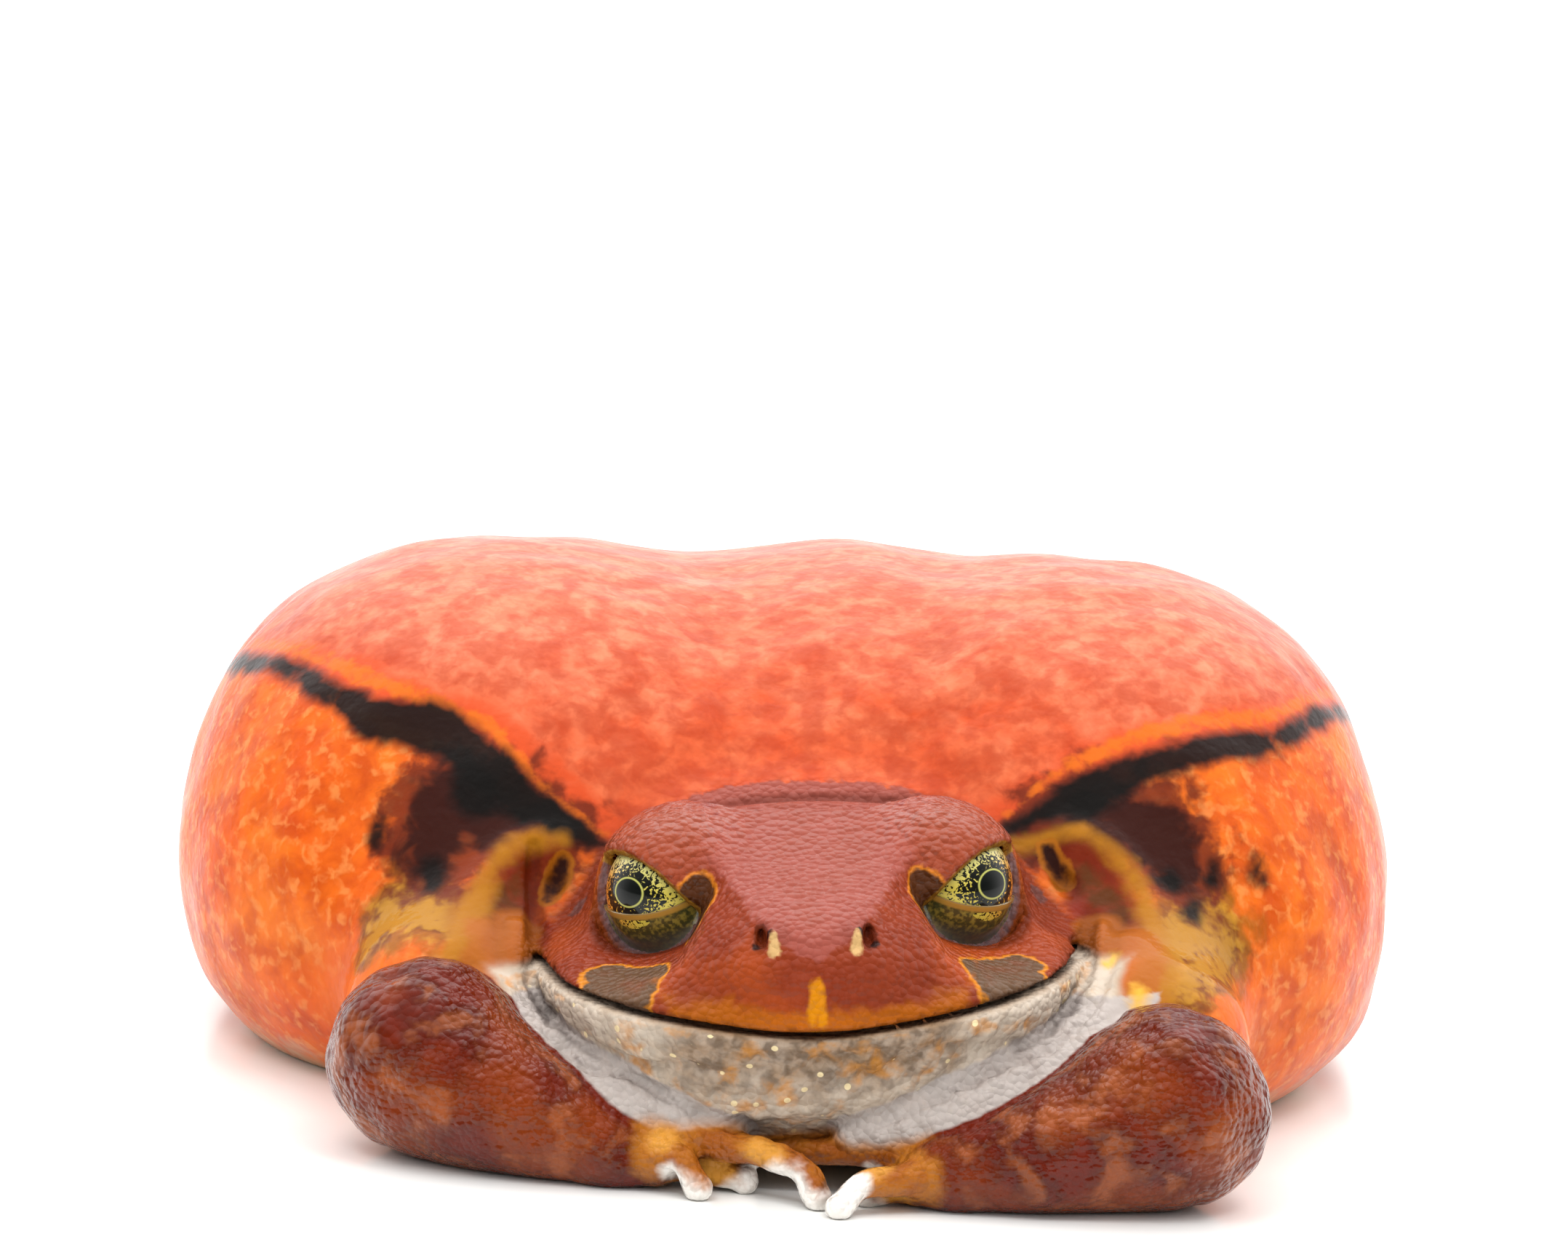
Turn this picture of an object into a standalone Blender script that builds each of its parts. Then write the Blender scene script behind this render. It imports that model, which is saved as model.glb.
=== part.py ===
"""Tomato frog, life size, puffed up and crouched with its hands folded under the chin.

The script works in millimetres and turns each finished mesh to metres at the end. The frog faces
-Y, +X is its left side, +Z is up, and it rests on the plane z = 0. Head and trunk are named rounded
masses that a voxel remesh fuses into one skin, which thin cuts then part into head, lower jaw and
torso. Limbs are chains of tapered lengths, folded under and beside the body.
"""

import math

import bmesh
import bpy
from mathutils import Matrix, Vector

MM = 0.001
GAP = 0.3  # the space that two touching nodes keep
SINK = 0.25  # how far a limb's underside is pressed flat by its own weight

# Masses: name, centre, half sizes, roundness in plan, roundness in side view (2 is an ellipsoid)
TRUNK = [
    ("core", (0.0, 7.0, 14.0), (33.0, 32.0, 17.4), 2.0, 2.0),
    ("flank_right", (-19.2, 0.5, 14.5), (21.9, 25.0, 18.8), 2.3, 2.15),
    ("flank_left", (18.3, 0.5, 15.0), (21.1, 25.0, 18.8), 2.3, 2.2),
    ("bag_right", (-17.5, -2.2, 9.0), (22.1, 24.4, 12.5), 2.3, 2.5),
    ("bag_left", (17.2, -2.6, 9.0), (21.9, 25.0, 12.5), 2.3, 2.5),
    ("spine", (1.8, 6.0, 14.5), (13.0, 27.0, 18.0), 2.0, 2.0),
    ("rump", (0.5, 20.0, 11.5), (25.0, 20.8, 14.0), 2.2, 2.2),
    ("shoulder_right", (-17.5, -13.0, 11.0), (14.5, 12.5, 11.8), 2.2, 2.2),
    ("shoulder_left", (18.8, -13.5, 11.5), (14.5, 12.5, 12.2), 2.2, 2.2),
    ("chest", (0.5, -22.0, 4.4), (20.5, 20.6, 6.8), 2.3, 2.2),
]

# The head is measured from the middle of the line between the mouth corners: x to the frog's
# left, y forward to the nose, z up
HEAD_AT = (1.2, -27.0, 12.0)
NOSE_DOWN, RIGHT_EYE_DOWN, NOSE_LEFT = 4.0, 4.0, 2.0
MOUTH_HALF_WIDTH = 17.3
MOUTH_LENGTH = 19.4
HEAD = [
    ("upper_jaw", (0.0, 0.0, 0.2), (MOUTH_HALF_WIDTH, MOUTH_LENGTH, 3.9), 2.6, 2.4),
    ("skull", (0.0, -2.0, 2.0), (14.2, 20.2, 6.0), 2.2, 2.3),
    ("snout", (0.0, 9.5, 2.4), (7.4, 9.4, 4.4), 2.2, 2.3),
    ("nape", (0.0, -8.0, 2.0), (15.0, 9.0, 6.6), 2.4, 2.2),
    ("brow_right", (-7.7, 3.2, 5.9), (5.2, 6.4, 4.3), 2.0, 2.0),
    ("brow_left", (7.7, 3.2, 5.9), (5.2, 6.4, 4.3), 2.0, 2.0),
    ("lower_jaw", (0.0, -1.0, -3.0), (16.6, 19.6, 5.6), 2.6, 2.8),
]
LIP_RISE = 1.0  # how much higher the mouth line runs at the sides than under the nose
LIP_DIP_WIDTH = 8.5
NECK_BLOCK = ((0.0, 9.0, 2.0), (20.0, 16.8, 24.0))  # what the neck cut goes round
UNDER_THROAT = -8.4  # the level that parts the throat from the chest
# What the cut round the left upper arm goes round: centre and half sizes
SHOULDER_BLOCK = ((21.5, -34.0, 6.0), (11.5, 12.5, 14.0))
SHOULDER_SPARE = 1.5  # how much wider the arm's skin is thinned before that cut

EYE_RADIUS = 4.0
EYE_AT = (8.6, 5.4, 5.3)  # the left eye, in the head's frame; the right one mirrors it
LID = 0.8  # how far the lids stand off the eyeball
LID_EDGE = (-0.566, -0.267, 0.781)  # normal of the plane of the upper lid's edge
EYE_AXIS = (0.743, 0.547, 0.391)  # the way the opening between the lids faces
LOWER_LID = 1.9  # how far along that axis the lower lid's rim stands

LID_SPARE = 2.1  # how far outside the eyeball the cut between the lids reaches

# A nostril of the left side: a slanting pit between two points
NOSTRIL_INNER = (2.6, 14.8, 4.7)
NOSTRIL_OUTER = (3.1, 18.0, 6.2)
NOSTRIL_RADIUS = 0.55

# Limbs: chains of (point, radius)
ARMS = {
    "right": {
        "upper_arm": [((-17.5, -17.0, 9.5), 8.5), ((-21.4, -29.5, 7.2), 6.6)],
        "forearm": [
            ((-21.9, -37.6, 6.2), 6.2),
            ((-18.4, -40.2, 4.8), 4.8),
            ((-14.4, -42.0, 3.7), 3.6),
            ((-10.4, -43.0, 2.5), 2.4),
        ],
        "palm": [((-10.4, -43.0, 2.4), 2.2), ((-7.6, -43.6, 2.1), 1.8)],
        "fingers": [
            [((-8.0, -44.0, 2.4), 1.15), ((-5.9, -45.4, 2.5), 0.85), ((-4.8, -46.0, 0.85), 0.9)],
            [((-8.4, -43.2, 3.2), 1.15), ((0.3, -45.4, 2.9), 0.85), ((2.5, -46.9, 0.85), 0.9)],
            [((-8.0, -43.0, 1.9), 1.15), ((-2.6, -43.6, 1.2), 0.85), ((-2.0, -43.7, 0.9), 0.85)],
            [((-9.0, -42.4, 1.6), 1.15), ((-6.6, -41.6, 1.0), 0.9), ((-5.8, -41.3, 0.9), 0.85)],
        ],
    },
    "left": {
        "upper_arm": [((18.5, -17.5, 9.5), 8.5), ((22.8, -32.0, 7.4), 6.8)],
        "forearm": [
            ((23.7, -41.4, 6.3), 6.3),
            ((19.3, -43.2, 4.7), 4.6),
            ((15.3, -44.4, 3.6), 3.5),
            ((11.0, -44.8, 2.6), 2.5),
        ],
        "palm": [((11.0, -44.8, 2.5), 2.2), ((8.6, -45.0, 2.1), 1.8)],
        "fingers": [
            [((9.2, -46.0, 2.3), 1.15), ((5.2, -47.6, 2.0), 0.85), ((3.8, -48.8, 0.85), 0.9)],
            [((9.4, -44.2, 3.4), 1.15), ((3.5, -43.2, 3.6), 0.8), ((-1.4, -42.6, 3.0), 0.75)],
            [((8.8, -44.6, 1.9), 1.15), ((6.2, -45.3, 1.1), 0.85), ((5.4, -45.4, 0.9), 0.85)],
            [((9.6, -43.8, 1.6), 1.15), ((7.0, -42.6, 1.0), 0.9), ((6.2, -42.2, 0.9), 0.85)],
        ],
    },
}
# Skin folds that run from the mouth corners down beside the throat
THROAT_FOLDS = {
    "right": [
        ((-17.6, -25.5, 8.4), 2.6),
        ((-15.0, -31.5, 6.6), 2.6),
        ((-9.8, -38.5, 4.8), 2.4),
        ((-3.0, -42.2, 4.4), 1.8),
    ],
    "left": [
        ((19.9, -26.5, 8.4), 2.6),
        ((17.6, -32.0, 7.0), 2.6),
        ((13.0, -39.0, 5.2), 2.4),
        ((6.0, -42.8, 4.4), 1.8),
    ],
}
# The right leg; the left one mirrors it
LEG = {
    "thigh": [((-12.0, 28.0, 12.0), 8.0), ((-25.5, 23.0, 12.4), 9.2), ((-34.3, 13.0, 9.8), 6.2)],
    "shank": [((-34.6, 12.4, 5.8), 4.6), ((-30.5, 24.0, 6.0), 5.9), ((-20.0, 38.0, 4.4), 3.7)],
    "tarsus": [((-20.0, 38.0, 3.2), 3.1), ((-29.4, 34.0, 2.3), 2.3), ((-34.9, 26.5, 2.1), 2.2)],
}
TOE_BEND = 0.55  # where along a toe its bend is, from the ankle
TOE_ARCH = 1.9  # how high the bend stands
TOE_ROOT, TOE_MIDDLE = 1.6, 0.95  # a toe's radius at its root and at the bend
TOES = [  # the tip of each toe, inner first
    ((-28.6, 22.0, 0.85), 0.85),
    ((-29.6, 16.8, 0.85), 0.85),
    ((-32.2, 11.8, 0.85), 0.85),
    ((-36.4, 8.6, 0.85), 0.85),
    ((-37.6, 17.4, 0.85), 0.85),
]

# Triangles that each node may have before the cuts
BUDGET = {
    "head_block": 4000,
    "torso_block": 3000,
    "upper_arm": 360,
    "forearm": 360,
    "hand": 700,
    "thigh": 300,
    "shank": 290,
    "foot": 700,
    "bed": 340,
}
COLOURS = {
    "head": (0.42, 0.07, 0.035),
    "lower_jaw": (0.36, 0.31, 0.27),
    "torso": (0.72, 0.13, 0.04),
    "limb": (0.35, 0.08, 0.035),
    "eye": (0.62, 0.48, 0.10),
}


def rounded(centre, radii, plan=2.0, side=2.0, rings=28):
    """A closed egg-shaped mesh; plan and side above 2 make it squarer seen from above or beside."""
    bm = bmesh.new()
    bmesh.ops.create_uvsphere(bm, u_segments=2 * rings, v_segments=rings, radius=1.0)
    for vert in bm.verts:
        x, y, z = (abs(c) for c in vert.co)
        across = (x**plan + y**plan) ** (1.0 / plan)
        vert.co /= (across**side + z**side) ** (1.0 / side)
    place = Matrix.Translation(centre) @ Matrix.Diagonal((*radii, 1.0))
    bmesh.ops.transform(bm, matrix=place, verts=bm.verts)
    return bm


def tapered(chain, swell=0.0, rings=12):
    """One closed hull for each pair of neighbouring balls in a chain of (point, radius)."""
    hulls = []
    for (a, ra), (b, rb) in zip(chain, chain[1:]):
        bm = bmesh.new()
        for point, radius in ((a, ra), (b, rb)):
            place = Matrix.Translation(point)
            bmesh.ops.create_uvsphere(
                bm, u_segments=2 * rings, v_segments=rings, radius=radius + swell, matrix=place
            )
        bmesh.ops.delete(bm, geom=bm.edges[:] + bm.faces[:], context="EDGES_FACES")
        made = bmesh.ops.convex_hull(bm, input=bm.verts)
        inner = {g for key in ("geom_interior", "geom_unused") for g in made[key]}
        spare = [g for g in inner if isinstance(g, bmesh.types.BMVert)]
        bmesh.ops.delete(bm, geom=spare, context="VERTS")
        hulls.append(bm)
    return hulls


def head_matrix():
    """Carries points from the head's own frame to the frog's, whose nose points to -Y."""
    forward = Matrix.Diagonal((1.0, -1.0, 1.0, 1.0))
    pitch = Matrix.Rotation(math.radians(NOSE_DOWN), 4, "X")
    roll = Matrix.Rotation(-math.radians(RIGHT_EYE_DOWN), 4, "Y")
    yaw = Matrix.Rotation(math.radians(NOSE_LEFT), 4, "Z")
    return Matrix.Translation(HEAD_AT) @ yaw @ roll @ pitch @ forward


def on_head(bm):
    """Moves a bmesh from the head's frame to its place on the frog."""
    bmesh.ops.transform(bm, matrix=head_matrix(), verts=bm.verts)
    bmesh.ops.reverse_faces(bm, faces=bm.faces)
    return bm


def mouth_height(x):
    """The mouth line's height in the head's frame, lowest under the nose."""
    return LIP_RISE * (1.0 - math.exp(-((x / LIP_DIP_WIDTH) ** 2)))


def as_object(name, pieces):
    """One object that holds all the given bmeshes, overlapping as they may."""
    whole = bmesh.new()
    for bm in pieces:
        part = bpy.data.meshes.new("piece")
        bm.to_mesh(part)
        bm.free()
        whole.from_mesh(part)
        bpy.data.meshes.remove(part)
    bmesh.ops.recalc_face_normals(whole, faces=whole.faces)
    mesh = bpy.data.meshes.new(name)
    whole.to_mesh(mesh)
    whole.free()
    obj = bpy.data.objects.new(name, mesh)
    bpy.context.scene.collection.objects.link(obj)
    return obj


def apply_modifiers(obj):
    """Turns an object's evaluated shape into its own mesh."""
    graph = bpy.context.evaluated_depsgraph_get()
    mesh = bpy.data.meshes.new_from_object(obj.evaluated_get(graph))
    obj.modifiers.clear()
    old = obj.data
    obj.data = mesh
    bpy.data.meshes.remove(old)


def fuse(obj, voxel, smooth_steps):
    """A voxel remesh makes one closed skin of overlapping masses; smoothing blends their creases."""
    remesh = obj.modifiers.new("fuse", "REMESH")
    remesh.mode = "VOXEL"
    remesh.voxel_size = voxel
    if smooth_steps:
        smooth = obj.modifiers.new("blend", "SMOOTH")
        smooth.factor = 0.5
        smooth.iterations = smooth_steps
    apply_modifiers(obj)


def thin(obj, triangles):
    """Collapses edges until about that many triangles are left, fewest where the skin is flat."""
    obj.data.calc_loop_triangles()
    collapse = obj.modifiers.new("thin", "DECIMATE")
    collapse.ratio = min(1.0, triangles / len(obj.data.loop_triangles))
    apply_modifiers(obj)


def boolean(obj, operation, *others, solver="EXACT"):
    """Cuts or joins the object with each of the others, and removes them."""
    for other in others:
        modifier = obj.modifiers.new(operation, "BOOLEAN")
        modifier.operation = operation
        modifier.object = other
        modifier.solver = solver
        apply_modifiers(obj)
        bpy.data.objects.remove(other)


def join(obj, *others):
    """Puts the faces of the others into the object's mesh as they are, and removes them."""
    whole = bmesh.new()
    for other in (obj, *others):
        whole.from_mesh(other.data)
    whole.to_mesh(obj.data)
    whole.free()
    for other in others:
        bpy.data.objects.remove(other)


def copy_of(obj, name):
    """A second object with a mesh of its own."""
    twin = bpy.data.objects.new(name, obj.data.copy())
    bpy.context.scene.collection.objects.link(twin)
    return twin


def box(name, low, high):
    """A closed box between two corners."""
    bm = bmesh.new()
    size = [b - a for a, b in zip(low, high)]
    middle = [(a + b) / 2 for a, b in zip(low, high)]
    place = Matrix.Translation(middle) @ Matrix.Diagonal((*size, 1.0))
    bmesh.ops.create_cube(bm, size=1.0, matrix=place)
    return as_object(name, [bm])


def trim_floor(obj):
    """Cuts away what would reach below the floor, which leaves a small flat to rest on."""
    boolean(obj, "DIFFERENCE", box("below", (-80, -80, -20), (80, 80, 0)))


def largest_body(obj):
    """Keeps only the biggest closed surface of a mesh."""
    bm = bmesh.new()
    bm.from_mesh(obj.data)
    bmesh.ops.remove_doubles(bm, verts=bm.verts, dist=0.0005)
    left = set(bm.verts)
    bodies = []
    while left:
        seed = left.pop()
        body, queue = {seed}, [seed]
        while queue:
            for edge in queue.pop().link_edges:
                for vert in edge.verts:
                    if vert in left:
                        left.discard(vert)
                        body.add(vert)
                        queue.append(vert)
        bodies.append(body)
    bodies.sort(key=len)
    for body in bodies[:-1]:
        bmesh.ops.delete(bm, geom=list(body), context="VERTS")
    bm.to_mesh(obj.data)
    bm.free()


def beyond_mouth(name, upwards, reach=40.0, steps=24):
    """A block on one side of the mouth, whose face follows the mouth line across the head."""
    bm = bmesh.new()
    side = 1.0 if upwards else -1.0
    rows = []
    for i in range(steps + 1):
        x = reach * (2.0 * i / steps - 1.0)
        near = mouth_height(x) - side * GAP / 2
        corners = ((-reach, near), (reach, near), (reach, side * reach), (-reach, side * reach))
        rows.append([bm.verts.new((x, y, z)) for y, z in corners])
    for left, right in zip(rows, rows[1:]):
        for j in range(4):
            k = (j + 1) % 4
            bm.faces.new((left[j], left[k], right[k], right[j]))
    bm.faces.new(rows[0])
    bm.faces.new(rows[-1])
    return as_object(name, [on_head(bm)])


def front_block(name, grow=0.0):
    """The rounded block, above the chest, that parts head and lower jaw from the torso."""
    bm = rounded(NECK_BLOCK[0], [r + grow for r in NECK_BLOCK[1]], 2.4, 2.4, rings=14)
    cut = bmesh.ops.bisect_plane(
        bm,
        geom=bm.verts[:] + bm.edges[:] + bm.faces[:],
        plane_co=(0.0, 0.0, UNDER_THROAT - grow),
        plane_no=(0.0, 0.0, -1.0),
        clear_outer=True,
    )
    bmesh.ops.edgeloop_fill(bm, edges=[g for g in cut["geom_cut"] if isinstance(g, bmesh.types.BMEdge)])
    return as_object(name, [on_head(bm)])


def shoulder_block(side, grow=0.0):
    """The rounded block that parts an upper arm from the torso."""
    centre, radii = SHOULDER_BLOCK
    bm = rounded(mirrored(centre, side), [r + grow for r in radii], 2.3, 2.3, rings=12)
    return as_object("block", [bm])


def ball(point, radius, rings=24):
    """A closed ball, in the head's frame until it is moved."""
    return rounded(point, (radius,) * 3, rings=rings)


def mirrored(point, side):
    """A point of the left side, or its mirror image for the right side."""
    return (point[0] if side == "left" else -point[0], point[1], point[2])


def lid_opening(side):
    """The part of a ball round the eye that the lids leave open, a wedge between two planes."""
    centre = mirrored(EYE_AT, side)
    bm = ball(centre, EYE_RADIUS + LID_SPARE, rings=12)
    upper = Vector(mirrored(LID_EDGE, side))
    axis = Vector(mirrored(EYE_AXIS, side))
    for point, normal in (
        (Vector(centre), upper),
        (Vector(centre) + axis * LOWER_LID, -axis),
    ):
        cut = bmesh.ops.bisect_plane(
            bm,
            geom=bm.verts[:] + bm.edges[:] + bm.faces[:],
            plane_co=point,
            plane_no=normal,
            clear_outer=True,
        )
        rim = [g for g in cut["geom_cut"] if isinstance(g, bmesh.types.BMEdge)]
        bmesh.ops.edgeloop_fill(bm, edges=rim)
    return as_object("opening_" + side, [on_head(bm)])


def make_skin():
    """Head and trunk as one closed skin, with brows, lids and the hollow of the mouth corners."""
    masses = [rounded(c, r, p, s) for _, c, r, p, s in TRUNK]
    for arm in ARMS.values():
        masses += tapered(arm["upper_arm"])
    skin = as_object("skin", masses)
    fuse(skin, 0.9, 40)
    face = as_object("face", [on_head(rounded(c, r, p, s)) for _, c, r, p, s in HEAD])
    fuse(face, 0.5, 8)
    lids = [on_head(ball(mirrored(EYE_AT, side), EYE_RADIUS + LID)) for side in ("right", "left")]
    folds = [bm for chain in THROAT_FOLDS.values() for bm in tapered(chain)]
    join(skin, face, as_object("lids", lids), as_object("folds", folds))
    fuse(skin, 0.5, 6)
    return skin


def finish(obj, name, colour, gloss=0.35):
    """Names a node, turns it to metres, shades it smooth and gives it its own material."""
    largest_body(obj)
    obj.name = name
    obj.data.name = name
    obj.data.transform(Matrix.Scale(MM, 4))
    obj.data.shade_smooth()
    obj.data.set_sharp_from_angle(angle=math.radians(50))
    material = bpy.data.materials.new(name)
    material.use_nodes = True
    shader = material.node_tree.nodes["Principled BSDF"]
    shader.inputs["Base Color"].default_value = (*colour, 1.0)
    shader.inputs["Roughness"].default_value = gloss
    shader.inputs["Metallic"].default_value = 0.0
    obj.data.materials.clear()
    obj.data.materials.append(material)


def limb(name, chains, triangles, voxel=0.35, smooth_steps=4):
    """A closed limb length, fused from its chains and pressed flat where it meets the floor."""
    pieces = []
    for chain in chains:
        pieces += tapered(chain)
    obj = as_object(name, pieces)
    fuse(obj, voxel, smooth_steps)
    thin(obj, triangles)
    trim_floor(obj)
    return obj


def cutter(chains, swell=GAP):
    """The same chains a little fatter, to cut their bed in a neighbour."""
    pieces = []
    for chain in chains:
        pieces += tapered(chain, swell, rings=9)
    obj = as_object("bed", pieces)
    fuse(obj, 0.4, 0)
    thin(obj, BUDGET["bed"])
    return obj


def lowered(chain):
    """A chain set down by the depth to which its underside is pressed flat."""
    return [((x, y, z - SINK), r) for (x, y, z), r in chain]


def mirror_chain(chain):
    """A chain of the right side on the left."""
    return [((-x, y, z), r) for (x, y, z), r in chain]


def arm_chains(side):
    """The chains of each node of an arm."""
    arm = ARMS[side]
    return {
        "forearm": [lowered(arm["forearm"])],
        "hand": [lowered(c) for c in [arm["palm"], *arm["fingers"]]],
    }


def leg_chains(side):
    """The chains of each node of a leg, with the toes fanned out from the end of the tarsus."""
    ankle = Vector(LEG["tarsus"][-1][0])
    toes = []
    for tip, radius in TOES:
        middle = ankle.lerp(Vector(tip), TOE_BEND)
        middle.z = TOE_ARCH
        toes.append([(tuple(ankle), TOE_ROOT), (tuple(middle), TOE_MIDDLE), (tip, radius)])
    chains = {
        "thigh": [LEG["thigh"]],
        "shank": [LEG["shank"]],
        "foot": [lowered(c) for c in [LEG["tarsus"], *toes]],
    }
    if side == "left":
        chains = {part: [mirror_chain(c) for c in group] for part, group in chains.items()}
    return chains


def make_limbs():
    """All limb nodes; each is cut clear of the one that lies on or against it."""
    made = {}
    chains = {}
    for side in ("right", "left"):
        for part, group in {**arm_chains(side), **leg_chains(side)}.items():
            key = f"{part}_{side}"
            chains[key] = group
            made[key] = limb(key, group, BUDGET[part])
    for side in ("right", "left"):
        for inner, outer in (("forearm", "hand"), ("thigh", "shank")):
            boolean(made[f"{inner}_{side}"], "DIFFERENCE", cutter(chains[f"{outer}_{side}"]))
        for inner in ("shank", "thigh"):
            boolean(made[f"{inner}_{side}"], "DIFFERENCE", cutter(chains[f"foot_{side}"]))
    return made, chains


def make_head_and_torso(limbs, chains):
    """Parts the skin into head, lower jaw and torso and beds the eyes and limbs in them."""
    skin = make_skin()
    torso = copy_of(skin, "torso")
    thin(torso, BUDGET["torso_block"])
    upper_arms = {}
    for side in ("right", "left"):
        arm = copy_of(skin, "arm")
        boolean(arm, "INTERSECT", shoulder_block(side, SHOULDER_SPARE), solver="MANIFOLD")
        thin(arm, BUDGET["upper_arm"])
        boolean(arm, "INTERSECT", shoulder_block(side), solver="MANIFOLD")
        boolean(arm, "DIFFERENCE", front_block("neck_cut", GAP), solver="MANIFOLD")
        upper_arms[side] = arm
    boolean(skin, "INTERSECT", box("front", (-30, -60, 0.5), (30, -14, 40)))
    thin(skin, BUDGET["head_block"])
    for side in ("right", "left"):
        boolean(skin, "DIFFERENCE", lid_opening(side))
        socket = as_object("socket", [on_head(ball(mirrored(EYE_AT, side), EYE_RADIUS + GAP, rings=12))])
        boolean(skin, "DIFFERENCE", socket)
        ends = (mirrored(NOSTRIL_INNER, side), mirrored(NOSTRIL_OUTER, side))
        pit = tapered([(end, NOSTRIL_RADIUS) for end in ends], rings=4)
        boolean(skin, "DIFFERENCE", as_object("nostril", [on_head(bm) for bm in pit]))
    # The exact solver loses most of the head or torso in these cuts, so the manifold one makes them
    boolean(skin, "INTERSECT", front_block("neck_cut"), solver="MANIFOLD")
    jaw = copy_of(skin, "jaw")
    boolean(skin, "DIFFERENCE", beyond_mouth("below_mouth", False), solver="MANIFOLD")
    boolean(jaw, "DIFFERENCE", beyond_mouth("above_mouth", True), solver="MANIFOLD")
    boolean(torso, "DIFFERENCE", front_block("neck_cut", GAP), solver="MANIFOLD")
    for side, arm in upper_arms.items():
        boolean(torso, "DIFFERENCE", shoulder_block(side, GAP), solver="MANIFOLD")
        trim_floor(arm)
        for part in ("forearm", "hand"):
            boolean(arm, "DIFFERENCE", cutter(chains[f"{part}_{side}"]))
        finish(arm, "upper_arm_" + side, COLOURS["torso"])
    trim_floor(torso)
    for key, group in chains.items():
        boolean(torso, "DIFFERENCE", cutter(group))
    for part in ("forearm", "hand"):
        for side in ("right", "left"):
            boolean(jaw, "DIFFERENCE", cutter(chains[f"{part}_{side}"]))
    finish(skin, "head", COLOURS["head"])
    finish(jaw, "lower_jaw", COLOURS["lower_jaw"])
    finish(torso, "torso", COLOURS["torso"])


def make_eyes():
    """Two whole eyeballs, each set deep in its socket between the lids."""
    for side in ("right", "left"):
        eye = as_object("eye", [on_head(ball(mirrored(EYE_AT, side), EYE_RADIUS, rings=9))])
        finish(eye, "eye_" + side, COLOURS["eye"], 0.08)


def main():
    """Clears the scene and makes every node."""
    for obj in list(bpy.data.objects):
        bpy.data.objects.remove(obj)
    limbs, chains = make_limbs()
    make_head_and_torso(limbs, chains)
    make_eyes()
    for key, obj in limbs.items():
        finish(obj, key, COLOURS["limb"])


main()
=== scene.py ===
# %% [markdown]
# Tomato frog, puffed up and crouched. The living animal is one soft, wet skin over air, muscle and
# bone, so everything but the eyes is made here as one skin. The frame gives the sizes: the frog
# faces -Y, +X is its left side, +Z is up, and it rests on the plane z = 0.

# %% The frame
import math

import bmesh
import bpy
import numpy as np
from mathutils import Matrix, Vector


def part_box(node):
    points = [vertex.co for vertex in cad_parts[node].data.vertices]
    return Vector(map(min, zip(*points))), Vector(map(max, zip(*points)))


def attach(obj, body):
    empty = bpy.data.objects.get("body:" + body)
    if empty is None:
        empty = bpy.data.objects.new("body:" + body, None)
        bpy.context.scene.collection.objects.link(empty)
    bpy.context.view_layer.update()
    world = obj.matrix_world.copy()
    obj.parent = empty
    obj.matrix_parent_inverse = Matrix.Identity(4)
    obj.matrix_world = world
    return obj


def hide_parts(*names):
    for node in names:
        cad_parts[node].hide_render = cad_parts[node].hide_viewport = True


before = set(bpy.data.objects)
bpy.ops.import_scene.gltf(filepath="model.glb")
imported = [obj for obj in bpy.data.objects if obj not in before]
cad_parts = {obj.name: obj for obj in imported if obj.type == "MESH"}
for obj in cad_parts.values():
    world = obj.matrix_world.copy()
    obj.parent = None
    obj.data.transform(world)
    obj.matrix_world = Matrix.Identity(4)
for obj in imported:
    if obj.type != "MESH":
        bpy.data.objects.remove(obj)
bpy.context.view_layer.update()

MM = 0.001
print("frame nodes:", len(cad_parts))

# %% [markdown]
# The camera comes first, so that every later step can be looked at from the right place. It is a
# long lens a little above the frog, tilted by a few degrees. Its place follows from one point of the
# animal, the middle of the upper lip, and from where that point lies in the picture.

# %% The camera
PICTURE_WIDTH, PICTURE_HEIGHT = 2156, 1725
LIP = np.array((2.3, -46.0, 10.6))  # the middle of the upper lip, in mm
LIP_PIXEL = (1132, 1423)
CAMERA_DISTANCE = 450.0  # from the lip, in mm
PIXELS_PER_MM = 22.7  # at the lip
CAMERA_HEIGHT = math.radians(9.5)
CAMERA_TILT = math.radians(3.0)
SENSOR_WIDTH = 36.0


def place_camera():
    """Steps back from the lip along the view, then aside until the lip lands on its pixel."""
    forward = np.array((0.0, math.cos(CAMERA_HEIGHT), -math.sin(CAMERA_HEIGHT)))
    level = np.array((1.0, 0.0, 0.0))
    upright = np.cross(level, forward)
    right = level * math.cos(CAMERA_TILT) + upright * math.sin(CAMERA_TILT)
    up = upright * math.cos(CAMERA_TILT) - level * math.sin(CAMERA_TILT)
    aside = (LIP_PIXEL[0] - PICTURE_WIDTH / 2) / PIXELS_PER_MM
    below = (LIP_PIXEL[1] - PICTURE_HEIGHT / 2) / PIXELS_PER_MM
    spot = LIP - CAMERA_DISTANCE * forward - aside * right + below * up
    data = bpy.data.cameras.new("long_lens")
    data.sensor_width = SENSOR_WIDTH
    data.lens = SENSOR_WIDTH * PIXELS_PER_MM * CAMERA_DISTANCE / PICTURE_WIDTH
    data.clip_start = 0.01
    data.clip_end = 20.0
    camera = bpy.data.objects.new("camera", data)
    rows = np.column_stack((right, up, -forward, spot * MM))
    camera.matrix_world = Matrix([*rows.tolist(), (0.0, 0.0, 0.0, 1.0)])
    bpy.context.scene.collection.objects.link(camera)
    bpy.context.scene.camera = camera
    return data


print("lens in mm:", round(place_camera().lens, 1))

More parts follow.
